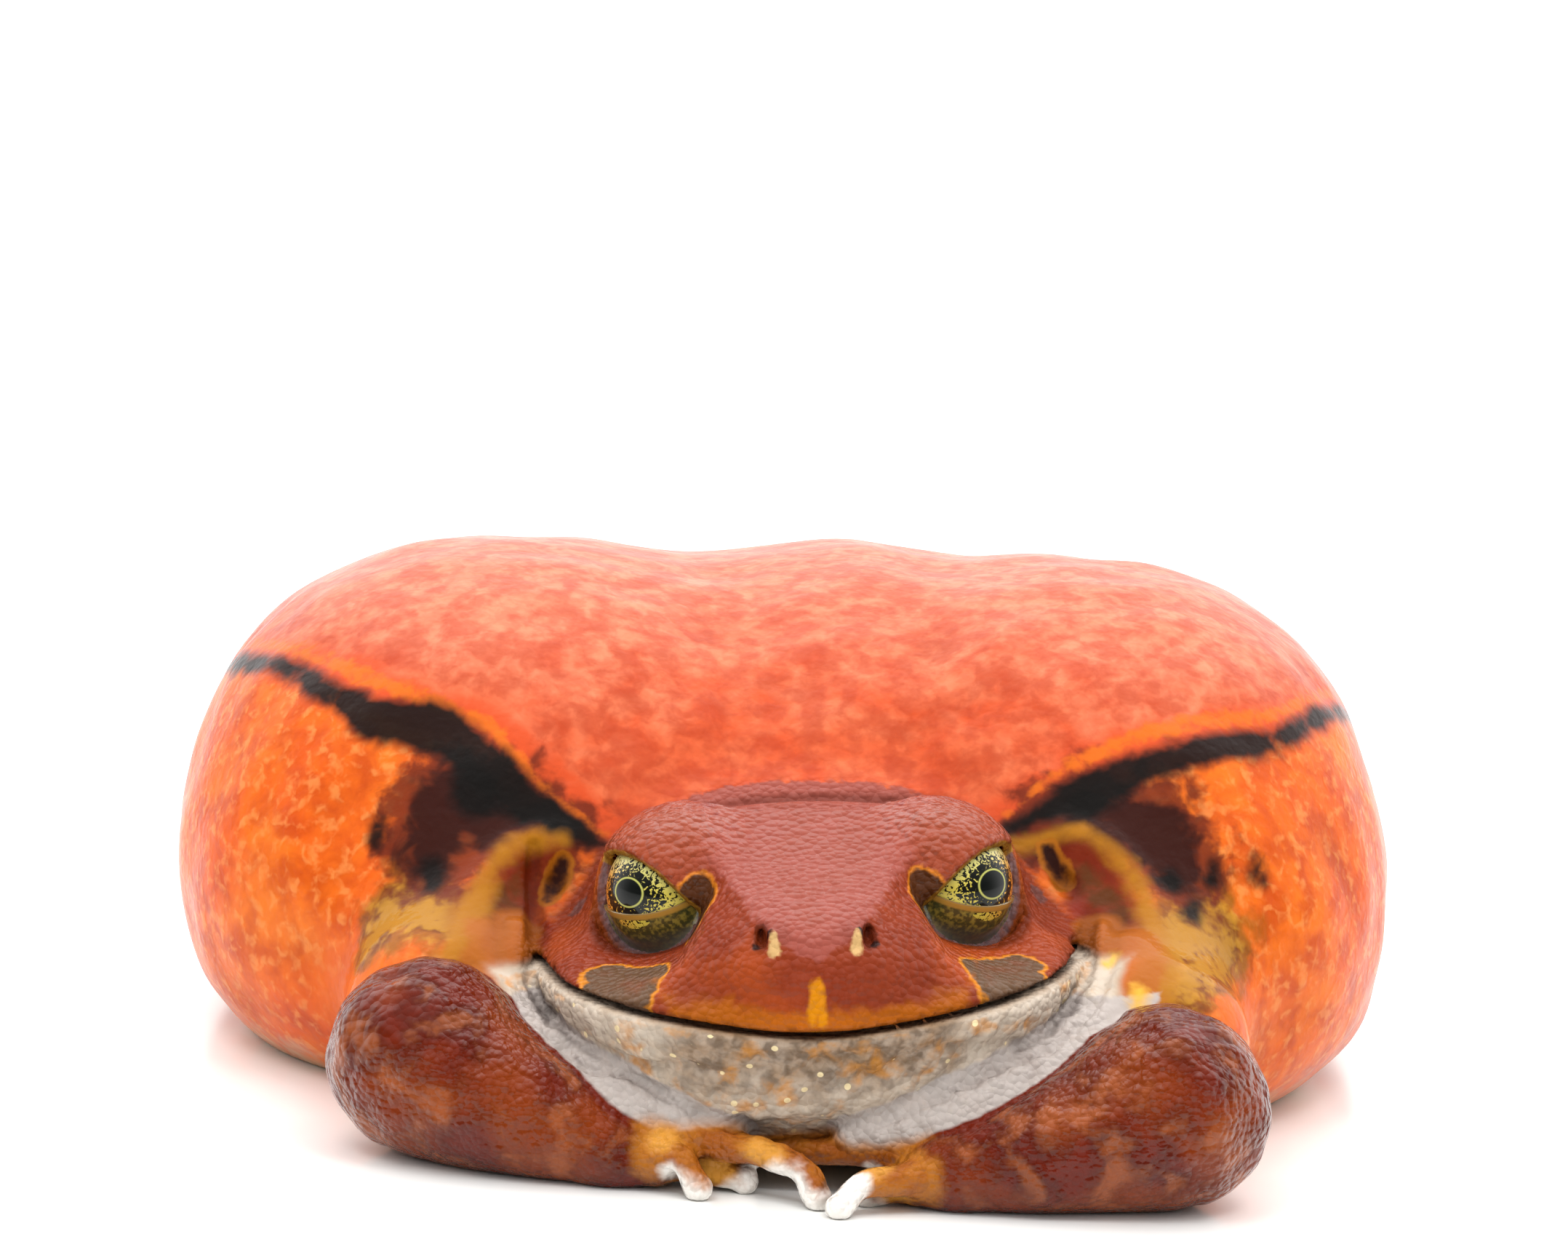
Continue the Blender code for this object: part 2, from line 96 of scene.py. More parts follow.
# %% [markdown]
# The head is held nose down, with its right eye lower than the left and the nose turned a little
# to the left. Everything on it is measured in its own frame: x to the frog's left, y forward to
# the nose, z up, from the middle of the line between the mouth corners.

# %% The head's own frame
HEAD_AT = np.array((1.2, -27.0, 12.0))
NOSE_DOWN, RIGHT_EYE_DOWN, NOSE_LEFT = 4.0, 4.0, 2.0


def turn(axis, degrees):
    """A turn about one axis: the cosine on the other two's diagonal, the sine across it."""
    a, b = [(1, 2), (2, 0), (0, 1)][axis]
    matrix = np.eye(3)
    matrix[a, a] = matrix[b, b] = math.cos(math.radians(degrees))
    matrix[b, a] = math.sin(math.radians(degrees))
    matrix[a, b] = -matrix[b, a]
    return matrix


HEAD_TURN = turn(2, NOSE_LEFT) @ turn(1, -RIGHT_EYE_DOWN) @ turn(0, NOSE_DOWN) @ np.diag((1, -1, 1))


def to_head(points):
    """From the frog's frame to the head's."""
    return (points - HEAD_AT) @ HEAD_TURN


def from_head(points):
    """From the head's frame to the frog's."""
    return points @ HEAD_TURN.T + HEAD_AT


def both_sides(points):
    """The given points of the frog's left side, and their mirror image."""
    points = np.array(points, float)
    mirror = np.ones(points.shape[1])
    mirror[0] = -1.0
    return points, points * mirror


EYES = {}
for side in ("left", "right"):
    low, high = (np.array(corner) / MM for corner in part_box("eye_" + side))
    EYES[side] = to_head((low + high) / 2)
EYE_RADIUS = round(float((high - low).max() / 2), 1)
print("eye radius in mm:", EYE_RADIUS, "eyes in the head's frame:", EYES)

# %% [markdown]
# A soft body has no edges to start from, so its shape is written as a distance: a function that
# says, for any point, how far it lies outside the skin (below zero is inside). Eggs and tapered
# rods give the masses, and a blend fills the crease where two of them meet, wide for fat over
# muscle, narrow for a fold of skin. Every function takes all its points at once.

# %% Distances to the simple masses
def egg(points, centre, half, plan=2.0, side=2.0):
    """Size of the point in half sizes, less one, times how far one size reaches there.

    plan and side above 2 make the egg squarer seen from above or from beside."""
    q = np.abs((points - centre) / half) + 1e-9
    across = (q[:, 0] ** plan + q[:, 1] ** plan) ** (1.0 / plan)
    size = (across**side + q[:, 2] ** side) ** (1.0 / side)
    return (size - 1.0) * size / np.linalg.norm(q / half, axis=1)


def rod(points, start, end):
    """Distance to the line between two (x, y, z, radius), less the radius met along it."""
    step = end[:3] - start[:3]
    along = np.clip((points - start[:3]) @ step / max(step @ step, 1e-9), 0.0, 1.0)
    away = np.linalg.norm(points - start[:3] - along[:, None] * step, axis=1)
    return away - (start[3] + along * (end[3] - start[3]))


def blend(a, b, width):
    """The nearer of two shapes, with a fillet where they are less than width apart."""
    near = np.maximum(width - np.abs(a - b), 0.0) / width
    return np.minimum(a, b) - near * near * width / 4.0


def carve(a, b, width):
    """The first shape with the second cut away, and the edge rounded."""
    return -blend(-a, b, width)


def curve(points, count=6):
    """A smooth run through given points (Catmull-Rom): at each one the slope is half the step between its
    neighbours."""
    p = np.array(points, float)
    p = np.vstack((2 * p[0] - p[1], p, 2 * p[-1] - p[-2]))
    t = np.linspace(0.0, 1.0, count, endpoint=False)[:, None]
    a, b, c, d = (p[i : len(p) - 3 + i, None] for i in range(4))
    runs = b + (c - a) * t / 2 + (2 * a - 5 * b + 4 * c - d) * t**2 / 2 + (3 * b - 3 * c + d - a) * t**3 / 2
    return np.vstack((runs.reshape(-1, p.shape[1]), p[-2]))


def near_chain(points, chain, reach):
    """Which points lie within reach of a chain of (x, y, z, radius), and their distance to it."""
    spread = reach + chain[:, 3].max()
    low, high = chain[:, :3].min(0) - spread, chain[:, :3].max(0) + spread
    near = np.flatnonzero(((points > low) & (points < high)).all(1))
    away = np.full(len(near), np.inf)
    for start, end in zip(chain, chain[1:]):
        away = np.minimum(away, rod(points[near], start, end))
    return near, away


# %% [markdown]
# The trunk is a bag of air: two big flanks, a spine that stands a little proud between them, and
# a rump. The numbers are centres and half sizes in mm, then how square each mass is seen from
# above and from the side.

# %% The trunk
TRUNK = {
    "core": ((0.0, 7.0, 14.0), (33.0, 32.0, 17.4), 2.0, 2.0),
    "flank_right": ((-19.2, 0.5, 14.5), (21.9, 25.0, 18.8), 2.3, 2.15),
    "flank_left": ((18.3, 0.5, 15.0), (21.1, 25.0, 18.8), 2.3, 2.2),
    "bag_right": ((-17.5, -2.2, 9.0), (22.1, 24.4, 12.5), 2.3, 2.5),
    "bag_left": ((17.2, -2.6, 9.0), (21.9, 25.0, 12.5), 2.3, 2.5),
    "spine": ((1.8, 6.0, 14.5), (13.0, 27.0, 18.0), 2.0, 2.0),
    "rump": ((0.5, 20.0, 11.5), (25.0, 20.8, 14.0), 2.2, 2.2),
    "shoulder_right": ((-17.5, -13.0, 11.0), (14.5, 12.5, 11.8), 2.2, 2.2),
    "shoulder_left": ((18.8, -13.5, 11.5), (14.5, 12.5, 12.2), 2.2, 2.2),
    "chest": ((0.5, -22.0, 4.4), (20.5, 20.6, 6.8), 2.3, 2.2),
}
UPPER_ARMS = {
    "right": ((-17.5, -17.0, 9.5, 7.9), (-21.4, -29.5, 7.2, 6.2)),
    "left": ((18.5, -17.5, 9.5, 7.9), (22.8, -32.0, 7.4, 6.4)),
}
FAT = 5.0  # how wide the creases between the trunk's masses are filled
SLACK = 0.9  # how far the fused skin draws in under its own tension


def trunk(points):
    """All the trunk's masses and the shoulders' roots, blended one after another."""
    away = np.full(len(points), 1e3)
    for centre, half, plan, side in TRUNK.values():
        away = blend(away, egg(points, centre, half, plan, side), FAT)
    away += SLACK
    for start, end in UPPER_ARMS.values():
        away = blend(away, rod(points, np.array(start), np.array(end)), FAT)
    return away


print("trunk masses:", len(TRUNK))

# %% [markdown]
# The head is broad and flat: an upper jaw shaped like a half moon, a lower jaw and throat pouch
# under it, a flat-topped snout, and a dome over each eye. The face is hollowed round each eye by a
# cone. The lids are the wall of a ball round each eyeball, opened by a wedge between the upper
# lid's edge and the lower lid's rim. All sizes are in mm, in the head's own frame.

# %% The head
HEAD = {
    "upper_jaw": ((0.0, 0.0, 0.2), (17.3, 19.4, 3.9), 2.6, 2.4),
    "skull": ((0.0, -2.0, 2.0), (14.2, 20.2, 6.0), 2.2, 2.3),
    "snout": ((0.0, 9.5, 2.4), (7.4, 9.4, 4.4), 2.2, 2.3),
    "nape": ((0.0, -8.0, 2.0), (15.0, 9.0, 6.6), 2.4, 2.2),
    "brow_right": ((-7.7, 3.2, 5.9), (5.2, 6.4, 4.3), 2.0, 2.0),
    "brow_left": ((7.7, 3.2, 5.9), (5.2, 6.4, 4.3), 2.0, 2.0),
    "lower_jaw": ((0.0, -1.0, -3.0), (16.6, 19.6, 5.6), 2.6, 2.8),
}
HEAD_FAT = 1.6
LID = 0.8  # how far the lids stand off the eyeball
SOCKET = 0.2  # the room between eyeball and lid
LID_SPARE = 1.0  # how far outside the eyeball the cut between the lids reaches
LID_EDGE = np.array((-0.574, -0.300, 0.762))  # normal of the upper lid's edge, left eye
LID_LINE = np.array((0.681, -0.691, 0.241))  # the way that edge runs, outwards
LID_DROP, LID_ARCH = 0.24, 0.35  # how far below the eye's middle it passes, and its arch
EYE_AXIS = np.array((0.605, 0.729, 0.320))  # the way the opening between the lids faces
LOWER_LID = 1.7  # how far along that axis the lower lid's rim stands
CHEEK_LEVEL = 1.6  # the face round the eye is hollowed by a cone about that axis
CHEEK_SLOPE, CHEEK_SLOPE_FRONT = 1.75, 1.3  # how steep its wall is, beside the eye and before it
LIP_TOP, LIP_GUARD = 3.4, 1.3  # below this height the wall rises, so that the lip stays whole
RIM_RING, RIM_LEVEL, RIM_THICK = 4.1, 1.4, 0.3  # the lower lid's margin, a ring round the axis
SNOUT_TOP = ((0.0, 16.6, 5.7), (0.0, 0.332, 0.943))
SNOUT_FRONT = ((0.0, 17.7, 5.9), (0.0, 0.91, 0.41))
SNOUT_SIDE = ((3.0, 16.6, 5.7), (0.804, 0.453, 0.385))
NOSTRIL_PIT = ((3.25, 16.8, 5.4), (0.32, 1.4, 0.6))
NOSTRIL_FLAP = ((2.65, 16.9, 5.3), (0.34, 0.55, 0.75))
LIP_RISE, LIP_DIP_WIDTH = 1.0, 8.5
MOUTH_DEPTH, MOUTH_GAPE = 1.1, 0.18  # the cleft between the lips and half its height
MOUTH_COVER = 0.3  # the cleft isn't cut where other skin covers the head by more than this
MOUTH_CORNER = 1.2  # how far forward of the head's middle the cleft ends
SNOUT_CORNER, SNOUT_EDGE = 4.5, 0.5  # how much its front corners and its top's edges are rounded
SNOUT_BACK, SNOUT_FOOT = 4.0, 0.6  # the snout's own form ends behind and below these
SNOUT_FAT, CHEEK_FAT, LID_FAT = 1.0, 1.2, 1.2  # fillets of the snout, the cheeks' hollows, the lids
FLAP_FAT, PIT_EDGE = 0.5, 0.3  # fillets of the nostril's flap and pit
LIP_EDGE, LID_CUT_EDGE, RIM_FAT, SOCKET_EDGE = 0.35, 0.6, 0.4, 0.1  # fillets of what is cut open
LID_HALF, LID_END = 3.0, 1.2  # half the upper lid's length, and where its arch stops falling


def mouth_height(x):
    """The mouth line's height: lowest under the nose, a bell curve's rise to the sides."""
    return LIP_RISE * (1.0 - np.exp(-((x / LIP_DIP_WIDTH) ** 2)))


def plane(points, through, normal):
    """Distance to a plane, above zero on the side that its normal points to."""
    return (points - through) @ np.array(normal)


def snout_side(points):
    """Distance to the snout's side wall; points on the right are mirrored to the left one."""
    mirrored = np.abs(points[:, :1]) * (1.0, 0.0, 0.0) + points * (0.0, 1.0, 1.0)
    return plane(mirrored, *SNOUT_SIDE)


def snout(points):
    """A wedge with a flat top, steep sides and a front: the farthest of its planes, rounded."""
    away = -blend(-snout_side(points), -plane(points, *SNOUT_FRONT), SNOUT_CORNER)
    away = -blend(-away, -plane(points, *SNOUT_TOP), SNOUT_EDGE)
    return np.maximum(away, np.maximum(SNOUT_BACK - points[:, 1], SNOUT_FOOT - points[:, 2]))


def hollow_cheeks(points, away):
    """Cuts a cone round each eye's axis. Its wall rises with the distance from the axis, less
    steeply in front of the eye, and near the lip the cone is lifted clear of it."""
    for mirror, eye in eyes_mirrored():
        along, across = about_eye(points - eye, mirror)
        forward = ((points - eye)[:, 1] - along * EYE_AXIS[1]) / np.maximum(across, 1e-6)
        wall = CHEEK_SLOPE - (CHEEK_SLOPE - CHEEK_SLOPE_FRONT) * np.maximum(forward, 0.0)
        level = CHEEK_LEVEL + LIP_GUARD * np.maximum(LIP_TOP - points[:, 2], 0.0)
        away = carve(away, level + wall * (across - RIM_RING) - along, CHEEK_FAT)
    return away


def head(points):
    """The head's masses blended, with lids round the eyes, in the head's own frame."""
    away = np.full(len(points), 1e3)
    for name, (centre, half, plan, side) in HEAD.items():
        away = blend(away, egg(points, centre, half, plan, side), HEAD_FAT)
        if name == "nape":
            away = blend(away, snout(points), SNOUT_FAT)
            away = hollow_cheeks(points, away)
    for eye in EYES.values():
        ball = np.linalg.norm(points - eye, axis=1) - EYE_RADIUS - LID
        away = blend(away, ball, LID_FAT)
    for mirror in (-1.0, 1.0):
        flip = np.array((mirror, 1.0, 1.0))
        away = blend(away, egg(points, NOSTRIL_FLAP[0] * flip, NOSTRIL_FLAP[1]), FLAP_FAT)
        away = carve(away, egg(points, NOSTRIL_PIT[0] * flip, NOSTRIL_PIT[1]), PIT_EDGE)
    return away


def eyes_mirrored():
    """Each eye's centre, with the factors that mirror the left eye's directions to it."""
    for side, eye in EYES.items():
        yield np.array((1.0 if side == "left" else -1.0, 1.0, 1.0)), eye


def about_eye(out, mirror):
    """How far points, seen from the eye's middle, lie along its axis and away from it."""
    along = out @ (EYE_AXIS * mirror)
    return along, np.sqrt(np.maximum((out * out).sum(1) - along * along, 0.0))


def lid_level(out, mirror):
    """How far a point, seen from the eye's middle, lies above the upper lid's arched edge."""
    along = np.clip(out @ (LID_LINE * mirror) / LID_HALF, -LID_END, LID_END)
    return out @ (LID_EDGE * mirror) + LID_DROP - LID_ARCH * (1.0 - along * along)


def lid_rim(points):
    """Distance to the nearer lower lid's margin, a thin ring in a plane across the eye's axis."""
    away = np.full(len(points), 1e3)
    for mirror, eye in eyes_mirrored():
        along, across = about_eye(points - eye, mirror)
        away = np.minimum(away, np.hypot(across - RIM_RING, along - RIM_LEVEL) - RIM_THICK)
    return away


def open_head(points, skin, own):
    """Cuts the mouth and the openings between the lids; own is the distance to the head alone."""
    level = points[:, 2] - mouth_height(points[:, 0])
    gape = MOUTH_GAPE * np.clip((points[:, 1] - MOUTH_CORNER) / MOUTH_DEPTH, -1.0, 1.0)
    cleft = np.maximum(np.abs(level) - gape, np.maximum(-own - MOUTH_DEPTH, own - MOUTH_GAPE))
    cleft = np.maximum(cleft, own - skin - MOUTH_COVER)
    skin = carve(skin, cleft, LIP_EDGE)
    for mirror, eye in eyes_mirrored():
        out = points - eye
        far = np.linalg.norm(out, axis=1)
        under_lid = lid_level(out, mirror)
        over_rim = LOWER_LID - out @ (EYE_AXIS * mirror)
        gap = np.maximum(np.maximum(under_lid, over_rim), far - EYE_RADIUS - LID_SPARE)
        skin = carve(skin, gap, LID_CUT_EDGE)
    skin = blend(skin, lid_rim(points), RIM_FAT)
    for eye in EYES.values():
        socket = np.linalg.norm(points - eye, axis=1) - EYE_RADIUS - SOCKET
        skin = carve(skin, socket, SOCKET_EDGE)
    return skin


print("head masses:", len(HEAD))


# %% [markdown]
# The arms lie folded in front of the chest, hands meeting under the chin, and the hind legs lie
# folded beside the rump. Each is a few smooth runs of (x, y, z, radius).

# %% The limbs
ARMS = {
    "right": [
        [(-21.9, -37.6, 6.0, 6.2), (-18.4, -40.2, 4.6, 4.8), (-14.4, -42.0, 3.5, 3.6),
         (-10.4, -43.0, 2.3, 2.4)],
        [(-10.4, -43.0, 2.2, 2.2), (-7.6, -43.6, 1.9, 1.8)],
        [(-8.0, -44.0, 2.2, 1.15), (-5.9, -45.4, 2.3, 0.85), (-4.8, -46.0, 0.7, 0.9)],
        [(-8.4, -43.2, 3.0, 1.15), (0.3, -45.4, 2.7, 0.85), (2.5, -46.9, 0.7, 0.9)],
        [(-8.0, -43.0, 1.7, 1.15), (-2.6, -43.6, 1.0, 0.85), (-2.0, -43.7, 0.7, 0.85)],
        [(-9.0, -42.4, 1.4, 1.15), (-6.6, -41.6, 0.8, 0.9), (-5.8, -41.3, 0.7, 0.85)],
    ],
    "left": [
        [(23.7, -41.4, 6.1, 6.3), (19.3, -43.2, 4.5, 4.6), (15.3, -44.4, 3.4, 3.5),
         (11.0, -44.8, 2.4, 2.5)],
        [(11.0, -44.8, 2.3, 2.2), (8.6, -45.0, 1.9, 1.8)],
        [(9.2, -46.0, 2.1, 1.15), (5.2, -47.6, 1.8, 0.85), (3.8, -48.8, 0.7, 0.9)],
        [(9.4, -44.2, 2.9, 1.15), (3.5, -43.2, 2.7, 0.8), (-1.4, -42.6, 2.2, 0.75)],
        [(8.8, -44.6, 1.7, 1.15), (6.2, -45.3, 0.9, 0.85), (5.4, -45.4, 0.7, 0.85)],
        [(9.6, -43.8, 1.4, 1.15), (7.0, -42.6, 0.8, 0.9), (6.2, -42.2, 0.7, 0.85)],
    ],
}
THIGH = [(-12.0, 28.0, 12.0, 8.0), (-25.5, 23.0, 12.4, 9.2), (-34.3, 13.0, 9.8, 6.2)]
SHANK = [(-34.6, 12.4, 5.8, 4.6), (-30.5, 24.0, 6.0, 5.9), (-20.0, 38.0, 4.4, 3.7)]
TARSUS = [(-20.0, 38.0, 2.95, 3.1), (-29.4, 34.0, 2.05, 2.3), (-34.9, 26.5, 1.85, 2.2)]
TOE_TIPS = [(-28.6, 22.0), (-29.6, 16.8), (-32.2, 11.8), (-36.4, 8.6), (-37.6, 17.4)]
TOE_ARCH, TOE_ROOT, TOE_BEND, TOE_TIP = 1.65, 1.6, 0.95, 0.85  # height of its bend, then radii
TOE_TIP_HEIGHT = 0.6
TOE_MIDDLE = (0.45, 0.55)  # shares of the ankle and of the tip in the place of a toe's bend
MUSCLE, WEB = 1.2, 0.5  # how wide the creases along a limb and between the digits are filled
WEB_RADIUS = 2.0  # a run that is thinner than this all along is a digit
FAR = 6.0  # distances to a limb or a mark are kept up to this


def toes():
    """A run from the end of the tarsus to each tip, bent a little past the middle."""
    ankle = np.array(TARSUS[-1][:3])
    for tip in TOE_TIPS:
        bend = ankle[:2] * TOE_MIDDLE[0] + np.array(tip) * TOE_MIDDLE[1]
        yield [(*ankle, TOE_ROOT), (*bend, TOE_ARCH, TOE_BEND), (*tip, TOE_TIP_HEIGHT, TOE_TIP)]


LEG = [THIGH, SHANK, TARSUS, *toes()]
LIMBS = {
    "arm_left": [curve(run) for run in ARMS["left"]],
    "arm_right": [curve(run) for run in ARMS["right"]],
    "leg_right": [curve(run) for run in LEG],
    "leg_left": [both_sides(curve(run))[1] for run in LEG],
}


def limb(points, name, reach=FAR):
    """The points near a limb and their distance to its runs, each blended to those before."""
    runs = LIMBS[name]
    low = np.min([(run[:, :3] - run[:, 3:]).min(0) for run in runs], axis=0) - reach
    high = np.max([(run[:, :3] + run[:, 3:]).max(0) for run in runs], axis=0) + reach
    near = np.flatnonzero(((points > low) & (points < high)).all(1))
    away = np.full(len(near), 1e3)
    for run in runs:
        found, own = near_chain(points[near], run, reach)
        away[found] = blend(away[found], own, WEB if run[:, 3].max() < WEB_RADIUS else MUSCLE)
    return near, away


print("runs in each limb:", {name: len(runs) for name, runs in LIMBS.items()})

# %% [markdown]
# Between the jaw and the arms the loose skin of the throat hangs in thick rolls, one round each
# side. They are rods sunk into the skin. With them, everything large is one distance.

# %% The whole body as one distance
NECK_FOLD = 2.2  # how wide the crease between head and trunk is filled
FOLD_FAT, FOLD_REACH = 0.7, 2.0  # the same beside the throat's rolls, and how far that reaches
FOLD_STEPS = 4  # points for each stretch of a roll
LIMB_FAT = {"arm": 0.8, "leg": 1.6}  # the same where a limb leaves the body
HEAD_PART = ((1.2, -33.0, 12.0), 24.0)  # middle and half size of the box that the head reaches
FOLDS = {
    "outer_right": [(-19.0, -31.0, 11.2, 1.5), (-18.3, -34.2, 9.4, 1.6), (-16.6, -36.2, 7.9, 1.7),
                    (-13.6, -39.2, 6.3, 1.7), (-10.0, -42.0, 5.2, 1.6), (-6.4, -43.2, 4.3, 1.3),
                    (-3.0, -43.0, 3.6, 1.0)],
    "inner_right": [(-17.2, -30.2, 12.6, 0.8), (-17.0, -32.8, 10.9, 0.85), (-16.4, -34.2, 9.2, 0.8),
                    (-15.2, -35.6, 7.8, 0.5)],
    "outer_left": [(21.2, -31.5, 13.4, 1.5), (21.0, -34.6, 11.6, 1.8), (19.6, -36.9, 9.8, 2.0),
                   (17.2, -39.0, 8.2, 2.1), (14.4, -41.3, 6.9, 2.1), (11.2, -43.0, 5.8, 1.9),
                   (8.0, -43.5, 4.7, 1.6), (4.6, -43.3, 3.8, 1.1)],
    "inner_left": [(19.2, -30.0, 14.4, 0.8), (19.5, -32.6, 13.0, 0.95), (19.0, -34.8, 11.6, 1.0),
                   (17.9, -36.4, 10.2, 0.95), (16.0, -38.4, 9.2, 0.6)],
}
FOLDS = {name: curve(run, FOLD_STEPS) for name, run in FOLDS.items()}


def bare_body(points):
    """Trunk, head, folds and limbs in one skin, without the fine lines."""
    skin = trunk(points)
    near = np.flatnonzero(np.abs(points - HEAD_PART[0]).max(1) < HEAD_PART[1])
    local = to_head(points[near])
    own = head(local)
    skin[near] = blend(skin[near], own, NECK_FOLD)
    for run in FOLDS.values():
        found, away = near_chain(points[near], run, FOLD_REACH)
        skin[near[found]] = blend(skin[near[found]], away, FOLD_FAT)
    skin[near] = open_head(local, skin[near], own)
    for name in LIMBS:
        found, away = limb(points, name)
        skin[found] = blend(skin[found], away, LIMB_FAT[name[:3]])
    return np.maximum(skin, -points[:, 2])


def slope(distance, points, step=0.04):
    """The direction in which a distance grows, from its change over a small step each way."""
    steps = np.eye(3) * step
    grad = np.stack([distance(points + s) - distance(points - s) for s in steps], axis=1)
    return grad / np.maximum(np.linalg.norm(grad, axis=1, keepdims=True), 1e-9)


def settle(points, distance, rounds=4, most=1.5):
    """Moves points along the slope until they lie on the skin."""
    for _ in range(rounds):
        away = np.clip(distance(points), -most, most)
        points = points - slope(distance, points) * away[:, None]
    return points


print("rolls beside the throat:", len(FOLDS))

# %% [markdown]
# Fine form is drawn on the skin as lines. A line is a few points near the skin, run through by a
# smooth curve and settled onto it. A groove is a thin rod that cuts the skin from a little above
# it, a ridge is one that stands out of it. The mouth's corners run up into a crease, the jaw's
# angle and the rolls are parted from the throat, which has a few wrinkles of its own, a fold
# crosses the crown, and a pit lies behind each eye.

# %% Grooves and ridges
# Each has its run in the frog's frame, its rod's radius, and how deep or high it is.
GROOVES = {
    "cheek_right": ([(-16.4, -26.0, 17.4), (-16.2, -27.2, 15.8), (-16.0, -29.2, 13.6),
                     (-15.9, -31.0, 12.2)], 0.5, 0.45),
    "cheek_left": ([(18.7, -28.7, 15.6), (19.0, -30.2, 14.6), (18.8, -32.4, 13.5)], 0.5, 0.4),
    "roll_right": ([(-16.8, -37.1, 9.7), (-14.5, -39.2, 8.3), (-11.8, -42.0, 6.8), (-9.3, -42.9, 6.7),
                    (-6.4, -44.2, 5.6), (-3.1, -44.3, 4.0)], 0.25, 0.28),
    "roll_left": ([(20.1, -33.5, 13.8), (19.1, -37.3, 11.7), (16.7, -40.7, 9.7), (13.4, -42.7, 8.5),
                   (10.3, -44.2, 7.2), (6.8, -44.7, 5.3), (5.4, -44.6, 4.6)], 0.25, 0.28),
    "jaw_right": ([(-16.1, -33.2, 11.3), (-16.0, -34.2, 10.4), (-15.2, -35.5, 9.2),
                   (-14.4, -38.9, 8.4)], 0.25, 0.24),
    "jaw_left": ([(18.7, -31.4, 14.4), (18.7, -33.9, 13.3), (18.1, -36.0, 12.2),
                  (16.9, -37.9, 11.1)], 0.25, 0.24),
    "throat_a": ([(-12.4, -40.5, 8.7), (-9.6, -42.5, 7.8), (-6.6, -44.6, 8.0),
                  (-4.8, -45.0, 8.0)], 0.22, 0.18),
    "throat_b": ([(9.0, -45.1, 10.0), (10.9, -44.3, 10.0), (12.8, -42.8, 10.0),
                  (15.1, -41.0, 9.5)], 0.22, 0.18),
    "throat_c": ([(11.2, -43.3, 9.2), (10.3, -43.6, 8.3), (9.2, -44.0, 7.5), (8.0, -44.4, 6.7),
                  (6.5, -44.5, 5.5)], 0.22, 0.18),
    "throat_d": ([(0.2, -45.4, 6.8), (2.1, -45.1, 6.8), (4.4, -45.3, 7.7), (6.2, -45.2, 8.5),
                  (8.5, -45.2, 9.9)], 0.22, 0.18),
    "crown": ([(-7.0, -24.2, 20.2), (-3.0, -23.6, 20.6), (1.5, -23.4, 20.9), (6.0, -23.4, 21.0),
               (9.6, -23.4, 21.4)], 0.7, 0.3),
    "pit_right": ([(-14.5, -26.2, 16.6), (-15.0, -27.2, 15.5), (-15.4, -28.0, 14.5)], 0.7, 0.5),
    "pit_left": ([(16.2, -26.0, 18.4), (17.1, -26.9, 17.3), (17.8, -27.8, 16.3)], 0.75, 0.55),
    "elbow_left_a": ([(23.4, -42.6, 11.9), (25.6, -41.8, 12.2), (27.6, -40.4, 11.4),
                      (29.0, -38.4, 10.0)], 0.4, 0.3),
    "elbow_left_b": ([(24.6, -44.6, 11.4), (26.6, -43.8, 11.2), (28.2, -42.8, 10.2)], 0.35, 0.22),
    "elbow_right": ([(-25.4, -38.6, 11.2), (-23.4, -39.0, 11.9), (-21.4, -38.8, 12.0)], 0.4, 0.22),
}
RIDGES = {
    "neck_right": ([(-14.6, -25.4, 18.0), (-17.4, -26.2, 17.2), (-19.0, -27.8, 15.6),
                    (-19.8, -30.0, 13.8), (-20.4, -33.6, 11.8)], 1.6, 0.22),
    "neck_left": ([(17.0, -24.9, 20.0), (19.6, -25.5, 19.2), (21.4, -26.8, 17.5), (22.5, -29.0, 15.6),
                   (23.0, -33.0, 13.6)], 1.6, 0.22),
    "crest": ([(-5.5, -24.9, 20.9), (-2.0, -24.6, 20.7), (2.0, -24.4, 20.9), (6.0, -24.4, 21.2),
               (8.4, -24.6, 21.6)], 0.8, 0.18),
}
LINE_STEPS = 4  # points for each stretch of a line
RIDGE_EDGE, GROOVE_EDGE, LINE_REACH = 0.9, 0.45, 1.5  # fillets of the lines, how far they reach


def settle_all(runs):
    """Settles several runs' points onto the bare skin in one go."""
    lengths = np.cumsum([len(run) for run in runs])[:-1]
    rows = np.vstack(runs)
    rows[:, :3] = settle(rows[:, :3], bare_body, rounds=5)
    return np.split(rows, lengths)


def pressed(lines, outward):
    """Rods along lines on the skin, moved off it by what is left of their radius. The depth
    fades out over a line's first and last few points."""
    runs = []
    for run, radius, _ in lines.values():
        run = curve(run, LINE_STEPS)
        runs.append(np.column_stack((run, np.full(len(run), radius))))
    for run, (_, radius, reach) in zip(settle_all(runs), lines.values()):
        along = np.arange(len(run))
        fade = np.minimum(np.minimum(along, along[::-1]) / LINE_STEPS, 1.0)[:, None]
        run[:, :3] += outward * (radius - reach * fade) * slope(bare_body, run[:, :3])
        yield run


GROOVE_RODS = list(pressed(GROOVES, 1.0))
RIDGE_RODS = list(pressed(RIDGES, -1.0))


